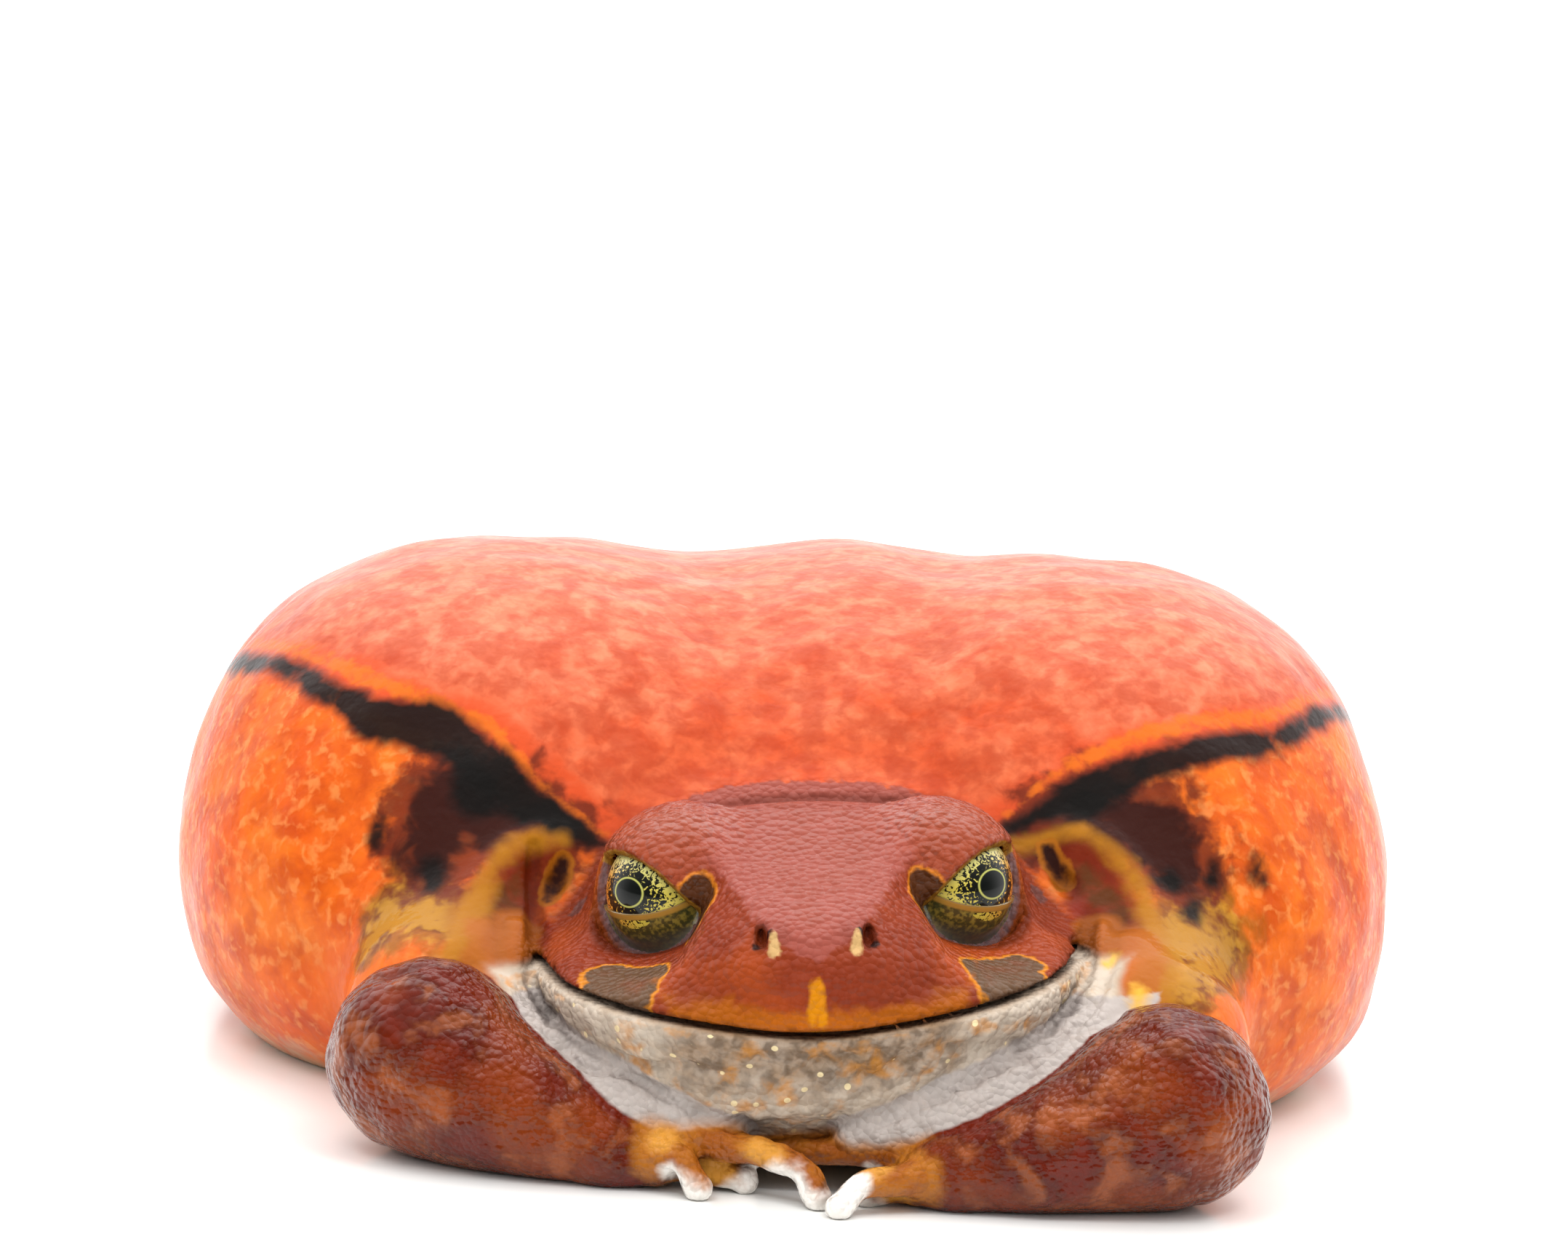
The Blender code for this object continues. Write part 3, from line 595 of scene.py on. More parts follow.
def body(points):
    """The finished skin: the bare body with its ridges raised and its grooves cut."""
    skin = bare_body(points)
    for rods, work, width in ((RIDGE_RODS, blend, RIDGE_EDGE), (GROOVE_RODS, carve, GROOVE_EDGE)):
        for run in rods:
            near, away = near_chain(points, run, LINE_REACH)
            skin[near] = work(skin[near], away, width)
    return np.maximum(skin, -points[:, 2])


print("grooves:", len(GROOVE_RODS), "ridges:", len(RIDGE_RODS))

# %% [markdown]
# The skin is cut out of the distance on a box grid that is finer round the head. Wherever the
# distance changes sign along a grid edge, the four cells round that edge share a face; each
# cell's corner is the mean of the crossings on its edges, settled onto the surface afterwards.
# Only points near the skin are worked out, because most of the box is air or the frog's inside.

# %% From distance to mesh
def graded(stops):
    """Grid lines from (start, spacing) to the next start, finer where it says."""
    lines = [np.arange(a, b, step) for (a, step), (b, _) in zip(stops, stops[1:])]
    return np.concatenate([*lines, [stops[-1][0]]])


def sample(distance, axes, block=6, spare=1.5):
    """The distance at every grid point near the skin; elsewhere only its sign is kept."""
    shape = tuple(len(a) for a in axes)
    middles = [a[np.minimum(np.arange(0, len(a), block) + block // 2, len(a) - 1)] for a in axes]
    coarse = np.stack(np.meshgrid(*middles, indexing="ij"), axis=-1).reshape(-1, 3)
    rough = distance(coarse).reshape([len(m) for m in middles])
    field = rough
    for axis, count in enumerate(shape):
        field = np.repeat(field, block, axis=axis).take(range(count), axis=axis)
    widest = [np.diff(a).max() for a in axes]
    near = np.abs(field) < block * np.linalg.norm(widest) / 2 + spare
    i, j, k = np.nonzero(near)
    field = np.sign(field) * 1e3
    field[i, j, k] = distance(np.stack([axes[0][i], axes[1][j], axes[2][k]], axis=1))
    return field


def crossings(field, axes):
    """For each axis, the grid edges where the sign changes: low corners, places, which way."""
    for axis in range(3):
        a = field.take(range(field.shape[axis] - 1), axis=axis)
        b = field.take(range(1, field.shape[axis]), axis=axis)
        corner = np.stack(np.nonzero((a < 0) != (b < 0)), axis=1)
        inner = [n for n in range(3) if n != axis]
        last = np.array(field.shape) - 2
        keep = (corner[:, inner] > 0).all(1) & (corner[:, inner] <= last[inner]).all(1)
        corner = corner[keep]
        start, end = a[tuple(corner.T)], b[tuple(corner.T)]
        place = np.stack([axes[n][corner[:, n]] for n in range(3)], axis=1)
        length = axes[axis][corner[:, axis] + 1] - axes[axis][corner[:, axis]]
        place[:, axis] += length * np.clip(start / (start - end), 0.0, 1.0)
        yield axis, corner, place, start < 0


def skin_mesh(field, axes):
    """One vertex for each cell that the skin passes through, one face for each crossed edge."""
    cells = np.array(field.shape) - 1
    faces, owners, places = [], [], []
    for axis, corner, place, inside in crossings(field, axes):
        u, v = (axis + 1) % 3, (axis + 2) % 3
        ring = []
        for du, dv in ((0, 0), (1, 0), (1, 1), (0, 1)):
            cell = corner.copy()
            cell[:, u] -= du
            cell[:, v] -= dv
            ring.append(np.ravel_multi_index(tuple(cell.T), cells))
        ring = np.stack(ring, axis=1)
        ring[~inside] = ring[~inside][:, ::-1]
        faces.append(ring)
        owners.append(ring.ravel())
        places.append(np.repeat(place, 4, axis=0))
    owners, faces = np.concatenate(owners), np.concatenate(faces)
    used, index = np.unique(owners, return_inverse=True)
    total = np.bincount(index, minlength=len(used))
    places = np.concatenate(places)
    points = np.stack([np.bincount(index, weights=places[:, n]) / total for n in range(3)], axis=1)
    return points, np.searchsorted(used, faces)


AXES = (
    graded([(-42.6, 0.66), (-26.0, 0.5), (-20.0, 0.32), (22.5, 0.5), (28.0, 0.66), (41.6, 0)]),
    graded([(-51.0, 0.32), (-23.0, 0.5), (-16.0, 0.66), (43.2, 0)]),
    graded([(-0.7, 0.32), (23.6, 0.66), (36.0, 0)]),
)
field = sample(body, AXES)
skin_points, skin_faces = skin_mesh(field, AXES)
print("skin:", len(skin_points), "points,", 2 * len(skin_faces), "triangles")


def make_piece(name, points, faces):
    """A smooth mesh object at the origin, from points in mm."""
    mesh = bpy.data.meshes.new(name)
    mesh.from_pydata((points * MM).tolist(), [], faces)
    mesh.validate()
    mesh.shade_smooth()
    piece = bpy.data.objects.new(name, mesh)
    bpy.context.scene.collection.objects.link(piece)
    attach(piece, "root")
    return piece


def points_of(mesh):
    """A mesh's vertices as rows of mm."""
    points = np.empty(3 * len(mesh.vertices), np.float32)
    mesh.vertices.foreach_get("co", points)
    return points.reshape(-1, 3).astype(float) / MM


def set_points(mesh, points):
    """Writes rows of mm back into a mesh."""
    mesh.vertices.foreach_set("co", (points * MM).astype(np.float32).ravel())
    mesh.update()


MOST_TRIANGLES = 196000
FINE_PARTS = ((-24.0, -52.0, -1.0), (27.0, -18.0, 25.0))  # the box round head, hands and throat
FEET_TOP, FEET_FRONT, FEET_INSIDE = 6.0, 6.0, 16.0  # the feet lie below, behind and outside these


def thin_out(piece, points):
    """Collapses edges of the big smooth masses until the piece has no more than its triangles."""
    inside = ((points > FINE_PARTS[0]) & (points < FINE_PARTS[1])).all(1)
    feet = (points[:, 2] < FEET_TOP) & (points[:, 1] > FEET_FRONT)
    feet &= np.abs(points[:, 0]) > FEET_INSIDE
    smooth = np.flatnonzero(~(inside | feet))
    group = piece.vertex_groups.new(name="smooth_masses")
    group.add(smooth.tolist(), 1.0, "REPLACE")
    fewer = piece.modifiers.new("fewer", "DECIMATE")
    fewer.vertex_group = group.name
    fewer.ratio = MOST_TRIANGLES / (2 * len(piece.data.polygons))
    graph = bpy.context.evaluated_depsgraph_get()
    mesh = bpy.data.meshes.new_from_object(piece.evaluated_get(graph))
    piece.modifiers.clear()
    piece.vertex_groups.clear()
    old, piece.data = piece.data, mesh
    bpy.data.meshes.remove(old)


skin = make_piece("frog_skin", skin_points, skin_faces.tolist())
thin_out(skin, skin_points)
skin_points = settle(points_of(skin.data), body, rounds=2, most=0.3)
skin_points[:, 2] = np.maximum(skin_points[:, 2], 0.0)
set_points(skin.data, skin_points)
print("thinned to", sum(len(p.vertices) - 2 for p in skin.data.polygons), "triangles")
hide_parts(*[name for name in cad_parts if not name.startswith("eye_")])

# %% [markdown]
# Living skin is never even. Waves of one length in random directions add up to low lumps: on the
# arms they stand for muscle and loose skin, on the back for the glands under it.

# %% Lumps of the skin
# Where they are, their length and height in mm, and the seed of their waves.
LUMPS = {"on_arm": (3.2, 0.07, 3), "throat": (1.6, 0.08, 5), "brow": (1.1, 0.06, 9)}
BACK_LUMPS = (7.0, 0.07, 7)
WAVES, FEWEST, MOST = 24, 0.7, 1.5  # how many waves, and how often each may rise in one length
LUMPS_IN = (0.2, 1.4)  # lumps rise between these distances inside their mark
BACK_FROM_HEAD = (1.0, 4.0)  # the back's rise between these distances from the head
FLAT_BELOW = (0.4, 2.5)  # all fade out between these heights, so that the frog rests on flats
BROW_SPREAD, BROW_FOOT = 0.8, 6.6  # how far the brow's grains leave its egg, and their lowest height
THROAT_COVER, THROAT_BACK = 2.2, 1.0  # how deep under other skin the throat goes on, and where it ends


def lumps(points, size, seed):
    """The sum of waves in random directions, scaled so that its usual size is one."""
    random = np.random.default_rng(seed)
    waves = random.normal(size=(WAVES, 3))
    waves *= 2.0 * math.pi / size / np.linalg.norm(waves, axis=1, keepdims=True)
    waves *= random.uniform(FEWEST, MOST, (WAVES, 1))
    starts = random.uniform(0.0, 2.0 * math.pi, WAVES)
    return np.cos(points @ waves.T + starts).sum(1) / math.sqrt(WAVES / 2)


def step(values, low, high):
    """Rises smoothly from nought at low to one at high."""
    t = np.clip((values - low) / (high - low), 0.0, 1.0)
    return t * t * (3.0 - 2.0 * t)


def distance_to_limbs(points, names):
    """Distance to the nearest of the named limbs, as far as it matters."""
    away = np.full(len(points), FAR)
    for name in names:
        found, own = limb(points, name)
        away[found] = np.minimum(away[found], own)
    return away


local = to_head(skin_points)
to_trunk, own = trunk(skin_points), head(local)
to_arms = distance_to_limbs(skin_points, ("arm_left", "arm_right"))
to_legs = distance_to_limbs(skin_points, ("leg_left", "leg_right"))
above_mouth = local[:, 2] - mouth_height(local[:, 0])
to_folds = np.full(len(skin_points), FAR)
for run in FOLDS.values():
    found, away = near_chain(skin_points, run, FOLD_REACH)
    to_folds[found] = np.minimum(to_folds[found], away)
brow = -np.minimum(egg(local, *HEAD["brow_left"]), egg(local, *HEAD["brow_right"]))
MARKS = {
    "brow": np.minimum(brow + BROW_SPREAD, local[:, 2] - BROW_FOOT),
    "on_head": to_trunk - own,
    "on_arm": np.minimum(np.minimum(to_trunk, own), to_folds) - to_arms,
    "on_leg": to_trunk - to_legs,
}
MARKS["throat"] = np.minimum(-above_mouth, THROAT_COVER - own)
MARKS["throat"] = np.minimum(MARKS["throat"], local[:, 1] - THROAT_BACK)
normals = slope(body, skin_points)
high = sum(
    height * lumps(skin_points, size, seed) * step(MARKS[mark], *LUMPS_IN)
    for mark, (size, height, seed) in LUMPS.items()
)
size, height, seed = BACK_LUMPS
high += height * lumps(skin_points, size, seed) * step(own, *BACK_FROM_HEAD)
high *= step(skin_points[:, 2], *FLAT_BELOW)
skin_points += normals * high[:, None]
set_points(skin.data, skin_points)
print("lumps in mm:", high.min().round(2), "to", high.max().round(2))

# %% [markdown]
# The markings are runs of (x, y, z, half width) on the skin, and each vertex keeps how many
# millimetres it lies inside each mark. The skin's material turns those into colour with a soft,
# ragged edge. The back's red ends at a line round the body, given by its height at some bearings.

# %% The markings
BACK_LINE = {
    -180: 11.5, -150: 14.0, -125: 17.5, -105: 21.0, -90: 23.6, -78: 25.5, -62: 26.2, -52: 25.3, -45: 24.5,
    -40: 23.8, -35: 21.9, -30: 20.0, -23: 17.9, 23: 19.6, 29: 20.4, 33: 22.2, 42: 24.6, 54: 25.8, 66: 25.8,
    77: 26.1, 90: 24.2, 105: 21.4, 125: 17.8, 150: 14.0, 180: 11.5,
}
BODY_RUNS = {
    "orange_line": [
        [(-12.0, -25.2, 18.2, 0.2), (-15.2, -24.1, 20.5, 0.35), (-17.8, -22.6, 22.4, 0.5),
         (-20.2, -20.9, 24.4, 0.6), (-26.3, -18.2, 25.9, 0.7), (-31.0, -14.0, 26.9, 0.7),
         (-36.4, -5.0, 26.2, 0.6), (-38.2, 5.0, 24.0, 0.4)],
        [(13.4, -24.2, 20.8, 0.2), (16.0, -22.6, 23.0, 0.4), (21.6, -20.3, 25.7, 0.7),
         (27.0, -17.5, 26.6, 0.7), (31.0, -14.0, 26.6, 0.6), (35.0, -5.5, 26.8, 0.5),
         (37.4, 5.0, 24.4, 0.4)],
    ],
    "stripe": [
        [(-11.9, -25.6, 17.6, 0.3), (-14.6, -25.1, 18.8, 1.1), (-17.8, -24.1, 20.4, 1.6),
         (-21.3, -22.0, 23.1, 1.6), (-24.2, -20.8, 24.0, 1.9), (-27.2, -19.8, 24.1, 1.5),
         (-30.3, -17.0, 25.0, 0.9), (-33.5, -12.0, 25.6, 0.7), (-37.0, -6.0, 24.8, 0.8),
         (-38.8, 3.0, 23.0, 0.6), (-38.2, 12.0, 19.8, 0.4), (-34.0, 22.0, 16.6, 0.1)],
        [(13.3, -24.9, 19.9, 0.3), (16.2, -24.0, 21.4, 1.0), (18.2, -23.6, 22.2, 1.6),
         (21.4, -22.2, 23.8, 1.25), (27.3, -19.0, 25.0, 1.0), (31.1, -15.8, 25.1, 0.8),
         (35.0, -7.6, 25.6, 0.6), (38.0, 3.0, 23.6, 0.5), (37.4, 12.0, 20.2, 0.4),
         (33.6, 22.0, 16.6, 0.1)],
    ],
    "blotch": [
        [(-20.4, -23.9, 20.8, 1.5), (-20.3, -24.2, 20.2, 1.5)],
        [(-26.7, -24.2, 18.3, 0.7), (-26.7, -24.4, 17.1, 0.8)],
        [(-23.0, -27.0, 16.1, 0.8), (-22.4, -27.5, 15.1, 0.9)],
        [(24.0, -26.2, 17.6, 0.75), (24.1, -26.4, 17.2, 0.75)],
        [(26.8, -24.5, 18.4, 0.5), (26.7, -24.8, 17.4, 0.75)],
        [(30.1, -22.8, 18.4, 0.45), (29.8, -23.0, 17.3, 0.7)],
        [(25.6, -26.8, 16.1, 0.7), (25.2, -27.2, 15.5, 0.8)],
        [(-38.6, -2.0, 17.5, 0.8), (-38.6, -1.0, 16.8, 0.7)],
        [(37.6, 2.0, 17.0, 0.7), (37.5, 3.2, 16.4, 0.8)],
    ],
    "dusk": [
        [(-14.8, -25.4, 18.4, 1.5), (-18.1, -25.3, 18.9, 2.8), (-22.0, -24.6, 19.6, 3.3),
         (-22.6, -26.8, 16.4, 2.0)],
        [(15.4, -25.0, 20.0, 1.4), (18.7, -24.6, 20.8, 2.6), (22.6, -24.6, 20.2, 2.9),
         (24.8, -25.6, 17.8, 2.0)],
    ],
    "gold": [
        [(-26.0, -29.5, 11.8, 2.0), (-24.1, -29.0, 13.8, 3.0), (-21.1, -31.2, 13.4, 2.0)],
        [(23.8, -31.5, 14.1, 2.4), (26.2, -27.6, 15.4, 2.4), (27.6, -27.0, 13.2, 1.8),
         (24.4, -35.6, 12.4, 1.8)],
    ],
    "neck": [
        [(-16.7, -26.4, 17.0, 1.4), (-17.6, -28.2, 15.2, 2.4), (-18.2, -30.4, 13.6, 2.8),
         (-18.6, -32.6, 11.8, 2.2)],
        [(17.8, -26.2, 18.4, 1.6), (19.2, -27.6, 17.0, 2.4), (20.4, -29.9, 15.2, 2.8),
         (20.8, -32.0, 13.6, 2.2)],
    ],
    "neck_band": [
        [(-14.7, -25.6, 17.8, 0.4), (-17.4, -26.0, 17.4, 0.55), (-19.0, -27.6, 15.8, 0.6),
         (-19.8, -29.9, 13.8, 0.8), (-20.4, -33.4, 11.8, 1.1), (-20.0, -38.0, 10.6, 1.4)],
        [(13.8, -25.6, 18.9, 0.3), (17.0, -24.9, 20.0, 0.4), (19.6, -25.5, 19.3, 0.5),
         (21.4, -26.8, 17.5, 0.6), (22.5, -28.9, 15.6, 0.7), (23.0, -32.9, 13.6, 1.1),
         (22.3, -36.8, 11.8, 1.4), (21.4, -41.0, 10.4, 1.2)],
    ],
    "yellow_bump": [
        [(-19.2, -36.5, 10.2, 0.6), (-19.0, -37.5, 9.4, 0.6)],
        [(21.6, -36.2, 12.0, 0.5), (21.4, -37.0, 11.2, 0.55)],
        [(20.2, -33.6, 13.6, 0.4), (20.0, -33.9, 13.0, 0.4)],
    ],
    "flank_glow": [
        [(25.4, -38.0, 12.2, 1.0), (27.6, -32.6, 11.6, 1.8), (29.4, -27.0, 8.6, 1.6)],
        [(-24.0, -36.0, 11.6, 1.0), (-27.4, -31.0, 9.6, 2.0), (-31.0, -26.0, 6.0, 2.4)],
    ],
    "digit_band": [
        [(-7.2, -44.6, 2.6, 0.9), (-6.8, -44.9, 2.6, 0.9)],
        [(-1.2, -45.2, 3.0, 0.9), (-0.4, -45.4, 2.8, 0.9)],
        [(6.0, -47.2, 2.2, 0.95), (5.4, -47.5, 2.0, 0.95)],
        [(-3.9, -43.6, 1.2, 0.9), (-3.2, -43.6, 1.1, 0.9)],
        [(7.2, -45.1, 1.2, 0.9), (6.8, -45.2, 1.1, 0.9)],
    ],
    "digit_tip": [
        [(-6.0, -45.4, 2.0, 0.95), (-4.8, -46.0, 0.7, 1.3)],
        [(0.4, -45.5, 2.4, 0.95), (2.5, -46.9, 0.7, 1.3)],
        [(4.6, -48.1, 1.6, 1.0), (3.8, -48.8, 0.7, 1.3)],
        [(-2.6, -43.6, 1.0, 1.0), (-2.0, -43.7, 0.7, 1.2)],
        [(-6.4, -41.5, 0.8, 1.0), (-5.8, -41.3, 0.7, 1.2)],
        [(6.0, -45.3, 0.9, 1.0), (5.4, -45.4, 0.7, 1.2)],
        [(6.6, -42.4, 0.8, 1.0), (6.2, -42.2, 0.7, 1.2)],
    ],
}
BODY_RUNS["digit_tip"] += [[(*tip, 0.6, 1.7), (*tip, 0.7, 1.7)] for tip in TOE_TIPS]
BODY_RUNS["digit_tip"] += [[(-x, y, 0.6, 1.7), (-x, y, 0.7, 1.7)] for x, y in TOE_TIPS]
HEAD_RUNS = {
    "cheek_patch": [
        [(10.5, 14.0, 3.5, 1.2), (11.3, 13.2, 3.0, 1.7), (12.5, 11.8, 2.3, 1.5), (13.1, 11.4, 1.4, 1.1)],
        [(10.5, 15.6, 0.8, 1.2), (10.7, 14.6, 2.6, 1.3)],
        [(10.6, 15.8, 0.6, 1.2), (11.8, 14.4, 0.4, 1.5), (12.9, 13.1, 0.5, 1.5)],
    ],
    "eye_patch": [[(6.9, 10.2, 6.9, 0.9), (7.2, 10.8, 6.0, 1.5), (7.6, 11.3, 5.0, 1.3)]],
    "grey_spot": [[(14.3, 1.2, 3.7, 0.45), (14.3, 1.6, 2.9, 0.5)]],
    # The pit's near-black inside is painted shade.
    "pit": [[(15.3, -1.4, 5.7, 0.5), (15.9, -0.6, 4.6, 0.6), (16.3, 0.0, 3.8, 0.4)]],
    "nostril_flap": [[(2.55, 17.2, 6.0, 0.24), (2.5, 17.8, 4.9, 0.4)]],
    # The nostril's inside is painted shade.
    "nostril_pit": [[(3.3, 17.0, 6.3, 0.3), (3.3, 17.3, 5.4, 0.3)]],
    "nose_bar": [[(0.2, 18.9, 3.4, 0.12), (0.2, 19.2, 2.4, 0.28), (0.2, 19.3, 0.2, 0.3)]],
    "corner": [[(16.8, 2.0, 2.6, 0.6), (17.2, 4.0, 1.0, 0.7)]],
}


# %% From runs to marks
DRAWN_STEPS = 3  # points for each stretch of a drawn run
# The hollow mark says how deep a point lies in a hollow of the skin; its colour layer paints shade there.
HOLLOW_REACH = 1.2  # how far out of the skin other skin counts as making a hollow, in mm
PALE_HOLLOWS = 0.55  # pale skin darkens only this much deeper into a hollow
DIGIT_SPREAD = 0.5  # how far outside a digit's own form its colour goes
BACK_MIDDLE = 2.0  # the y that the bearings of BACK_LINE are seen from
LEAST_STEEP = 0.15  # where the skin is level, its edge isn't stretched by more than this gives
# Painted sheen: the top of the back, well inside its line and away from the head, is laid paler.
PALE_INSIDE, PALE_FROM_HEAD, PALE_RISE = 2.5, 8.0, 0.4  # the back is palest well inside its line
BELLY_TURN, BELLY_START = 3.0, 2.6  # skin that faces down is the belly's
CROWN_TOP = 8.0  # above this height all the head is crown
CROWN_FOOT, CROWN_RISE, CROWN_SPREAD = 4.3, 0.9, 0.45  # the point that it runs out into at the nose
THROAT_MIDDLE, THROAT_DARK = 8.0, 3.6  # the throat is dark within this width and depth
THROAT_SHARP, ARM_SHARP = 4.0, 2.0  # how much harder than a millimetre these two edges are
LIP_HIGH, LIP_LOW, LIP_SIDE, LIP_BACK = 1.4, 0.5, 9.5, 8.0  # the yellow part of the upper lip
# Painted shade: the cleft between the lips is laid dark.
MOUTH_HALF, MOUTH_OUT, MOUTH_BACK = 0.11, 0.3, 1.0  # the dark line between the lips
FOLD_SPREAD = 0.9  # how far outside a roll's rod its colour goes
FOLD_PALE_TOP, FOLD_PALE_LEAN = 11.0, 0.055  # rolls are pale below this height, more so at the left
# Painted shade: the crease mark lays a dark line along each groove.
CREASE_REACH = 2.0
LID_OUT, LID_DOWN = 1.25, 0.6  # how far the upper lid's colour goes off the eye and below its edge
LID_EDGE_HALF, LID_EDGE_DOWN, LID_EDGE_OUT = 0.22, 0.05, 1.0  # the golden line along that edge
NEAR_EYE = 3.0
MARGIN_OUT, EYE_RING_OUT = 0.1, 0.7  # how far the rim's and the ring's colours go off the rim
# In hollows the film is thinned, a painted shade on its shine.
FILM_HOLLOW, FILM_OPEN, FILM_WETTEST = 0.1, 0.5, 1.0  # the film in hollows, open, on arms and brows
WET_ARM, WET_BROW, SHADED_HOLLOW = (0.0, 1.5), (-0.4, 0.6), (0.0, 0.7)  # where it passes over


def inside_runs(runs, reach=5.0):
    """For each vertex, how far it lies inside the nearest of the runs, below zero outside."""
    inside = np.full(len(skin_points), -FAR)
    for run in runs:
        near, away = near_chain(skin_points, run, reach)
        inside[near] = np.maximum(inside[near], -away)
    return inside


drawn = [(name, np.array(run)) for name, runs in BODY_RUNS.items() for run in runs]
for name, runs in HEAD_RUNS.items():
    for pair in (side for run in runs for side in both_sides(run)):
        pair[:, :3] = from_head(pair[:, :3])
        drawn.append((name, pair))
settled = settle_all([curve(run, DRAWN_STEPS) for _, run in drawn])
for name in dict.fromkeys(name for name, _ in drawn):
    MARKS[name] = inside_runs([run for run, (owner, _) in zip(settled, drawn) if owner == name])

# Painted shade: a hollow is where other skin lies a little way out from the surface.
MARKS["hollow"] = HOLLOW_REACH - body(skin_points + normals * HOLLOW_REACH)
print("hollows in mm:", np.percentile(MARKS["hollow"], (5, 50, 80, 95, 99)).round(2))
digits = [run for side in ("left", "right") for run in LIMBS["arm_" + side][2:]]
MARKS["digit"] = inside_runs(digits) + DIGIT_SPREAD

# %% Markings that follow the form
bearing = np.degrees(np.arctan2(skin_points[:, 0], BACK_MIDDLE - skin_points[:, 1]))
line = np.interp(bearing, list(BACK_LINE), list(BACK_LINE.values()))
steepness = np.sqrt(np.maximum(1.0 - normals[:, 2] ** 2, LEAST_STEEP))
MARKS["back"] = (skin_points[:, 2] - line) / steepness
# Painted sheen, palest on the top of the back.
MARKS["back_sheen"] = np.minimum(MARKS["back"] - PALE_INSIDE, PALE_RISE * (own - PALE_FROM_HEAD))
MARKS["belly"] = -BELLY_TURN * normals[:, 2] - BELLY_START
beside = np.abs(local[:, 0])
MARKS["crown"] = np.maximum(-snout_side(local), local[:, 2] - CROWN_TOP)
MARKS["crown"] = np.minimum(MARKS["crown"], MARKS["on_head"])
nose_end = CROWN_RISE * (local[:, 2] - CROWN_FOOT) - CROWN_SPREAD * beside
MARKS["crown"] = np.minimum(MARKS["crown"], nose_end)
MARKS["throat_pale"] = np.maximum(beside - THROAT_MIDDLE, -above_mouth - THROAT_DARK)
MARKS["throat"] *= THROAT_SHARP
MARKS["throat_pale"] = np.minimum(MARKS["throat_pale"], MARKS["throat"])
MARKS["on_arm"] *= ARM_SHARP
MARKS["lip"] = np.minimum(LIP_HIGH - above_mouth, above_mouth + LIP_LOW)
MARKS["lip"] = np.minimum(MARKS["lip"], LIP_SIDE - beside)
MARKS["lip"] = np.minimum(MARKS["lip"], local[:, 1] - LIP_BACK)
# Painted shade in the cleft between the lips.
MARKS["mouth"] = np.minimum(MOUTH_HALF - np.abs(above_mouth), MOUTH_OUT - own)
MARKS["mouth"] = np.minimum(MARKS["mouth"], local[:, 1] + MOUTH_BACK)
MARKS["fold"] = inside_runs(FOLDS.values()) + FOLD_SPREAD
pale_top = FOLD_PALE_TOP + FOLD_PALE_LEAN * skin_points[:, 0]
MARKS["fold_pale"] = np.minimum(MARKS["fold"], pale_top - skin_points[:, 2])
pale_skin = np.clip(np.maximum(MARKS["fold_pale"], MARKS["throat"]), 0.0, 1.0)
# Pale skin takes the painted shade of hollows only deeper in.
MARKS["hollow"] -= PALE_HOLLOWS * pale_skin
# Painted shade along the grooves.
MARKS["crease"] = inside_runs(GROOVE_RODS, CREASE_REACH)

# %% Markings of the lids, and the water's film
lid, lid_edge, under_lids = (np.full(len(local), start) for start in (-FAR, -FAR, FAR))
for mirror, eye in eyes_mirrored():
    out = local - eye
    far = np.linalg.norm(out, axis=1) - EYE_RADIUS
    level = lid_level(out, mirror)
    lid = np.maximum(lid, np.minimum(LID_OUT - far, level + LID_DOWN))
    edge = LID_EDGE_HALF - np.abs(level + LID_EDGE_DOWN)
    lid_edge = np.maximum(lid_edge, np.minimum(edge, LID_EDGE_OUT - far))
    under_lids = np.where(far < NEAR_EYE, np.minimum(under_lids, -level), under_lids)
MARKS["lid"], MARKS["lid_edge"] = lid, lid_edge
MARKS["margin"] = np.minimum(MARGIN_OUT - lid_rim(local), under_lids)
MARKS["eye_ring"] = np.minimum(EYE_RING_OUT - lid_rim(local), under_lids)
wettest = np.maximum(step(MARKS["on_arm"], *WET_ARM), step(MARKS["brow"], *WET_BROW))
film = FILM_OPEN + (FILM_WETTEST - FILM_OPEN) * wettest
# The film thins out in hollows: painted shade on the shine.
MARKS["film"] = film + (FILM_HOLLOW - film) * step(MARKS["hollow"], *SHADED_HOLLOW)


def add_number(mesh, name, values):
    """Keeps one number at each vertex for the material."""
    layer = mesh.attributes.new(name, "FLOAT", "POINT")
    layer.data.foreach_set("value", np.clip(values, -FAR, FAR).astype(np.float32))


for name, values in MARKS.items():
    add_number(skin.data, name, values)
print("marks on the skin:", ", ".join(sorted(MARKS)))

# %% [markdown]
# Materials. One helper adds a node with its settings and links, and one turns hex colours to
# linear. A layer of colour shows where its mark, made ragged by a noise, rises above a level.

# %% Helpers for materials
def linear(code):
    """An sRGB hex colour as linear red, green and blue."""
    parts = np.array([int(code[i : i + 2], 16) for i in (1, 3, 5)]) / 255.0
    parts = np.where(parts <= 0.04045, parts / 12.92, ((parts + 0.055) / 1.055) ** 2.4)
    return (*parts.tolist(), 1.0)


def node(tree, kind, inputs=None, **settings):
    """Adds a node, sets it, and gives each named input a value or a link."""
    made = tree.nodes.new(kind)
    for key, value in settings.items():
        setattr(made, key, value)
    for key, value in (inputs or {}).items():
        if isinstance(value, bpy.types.NodeSocket):
            tree.links.new(value, made.inputs[key])
        else:
            made.inputs[key].default_value = value
    return made


def new_material(name):
    """An empty material with its output, and its tree."""
    made = bpy.data.materials.new(name)
    made.use_nodes = True
    made.node_tree.nodes.clear()
    return made, made.node_tree


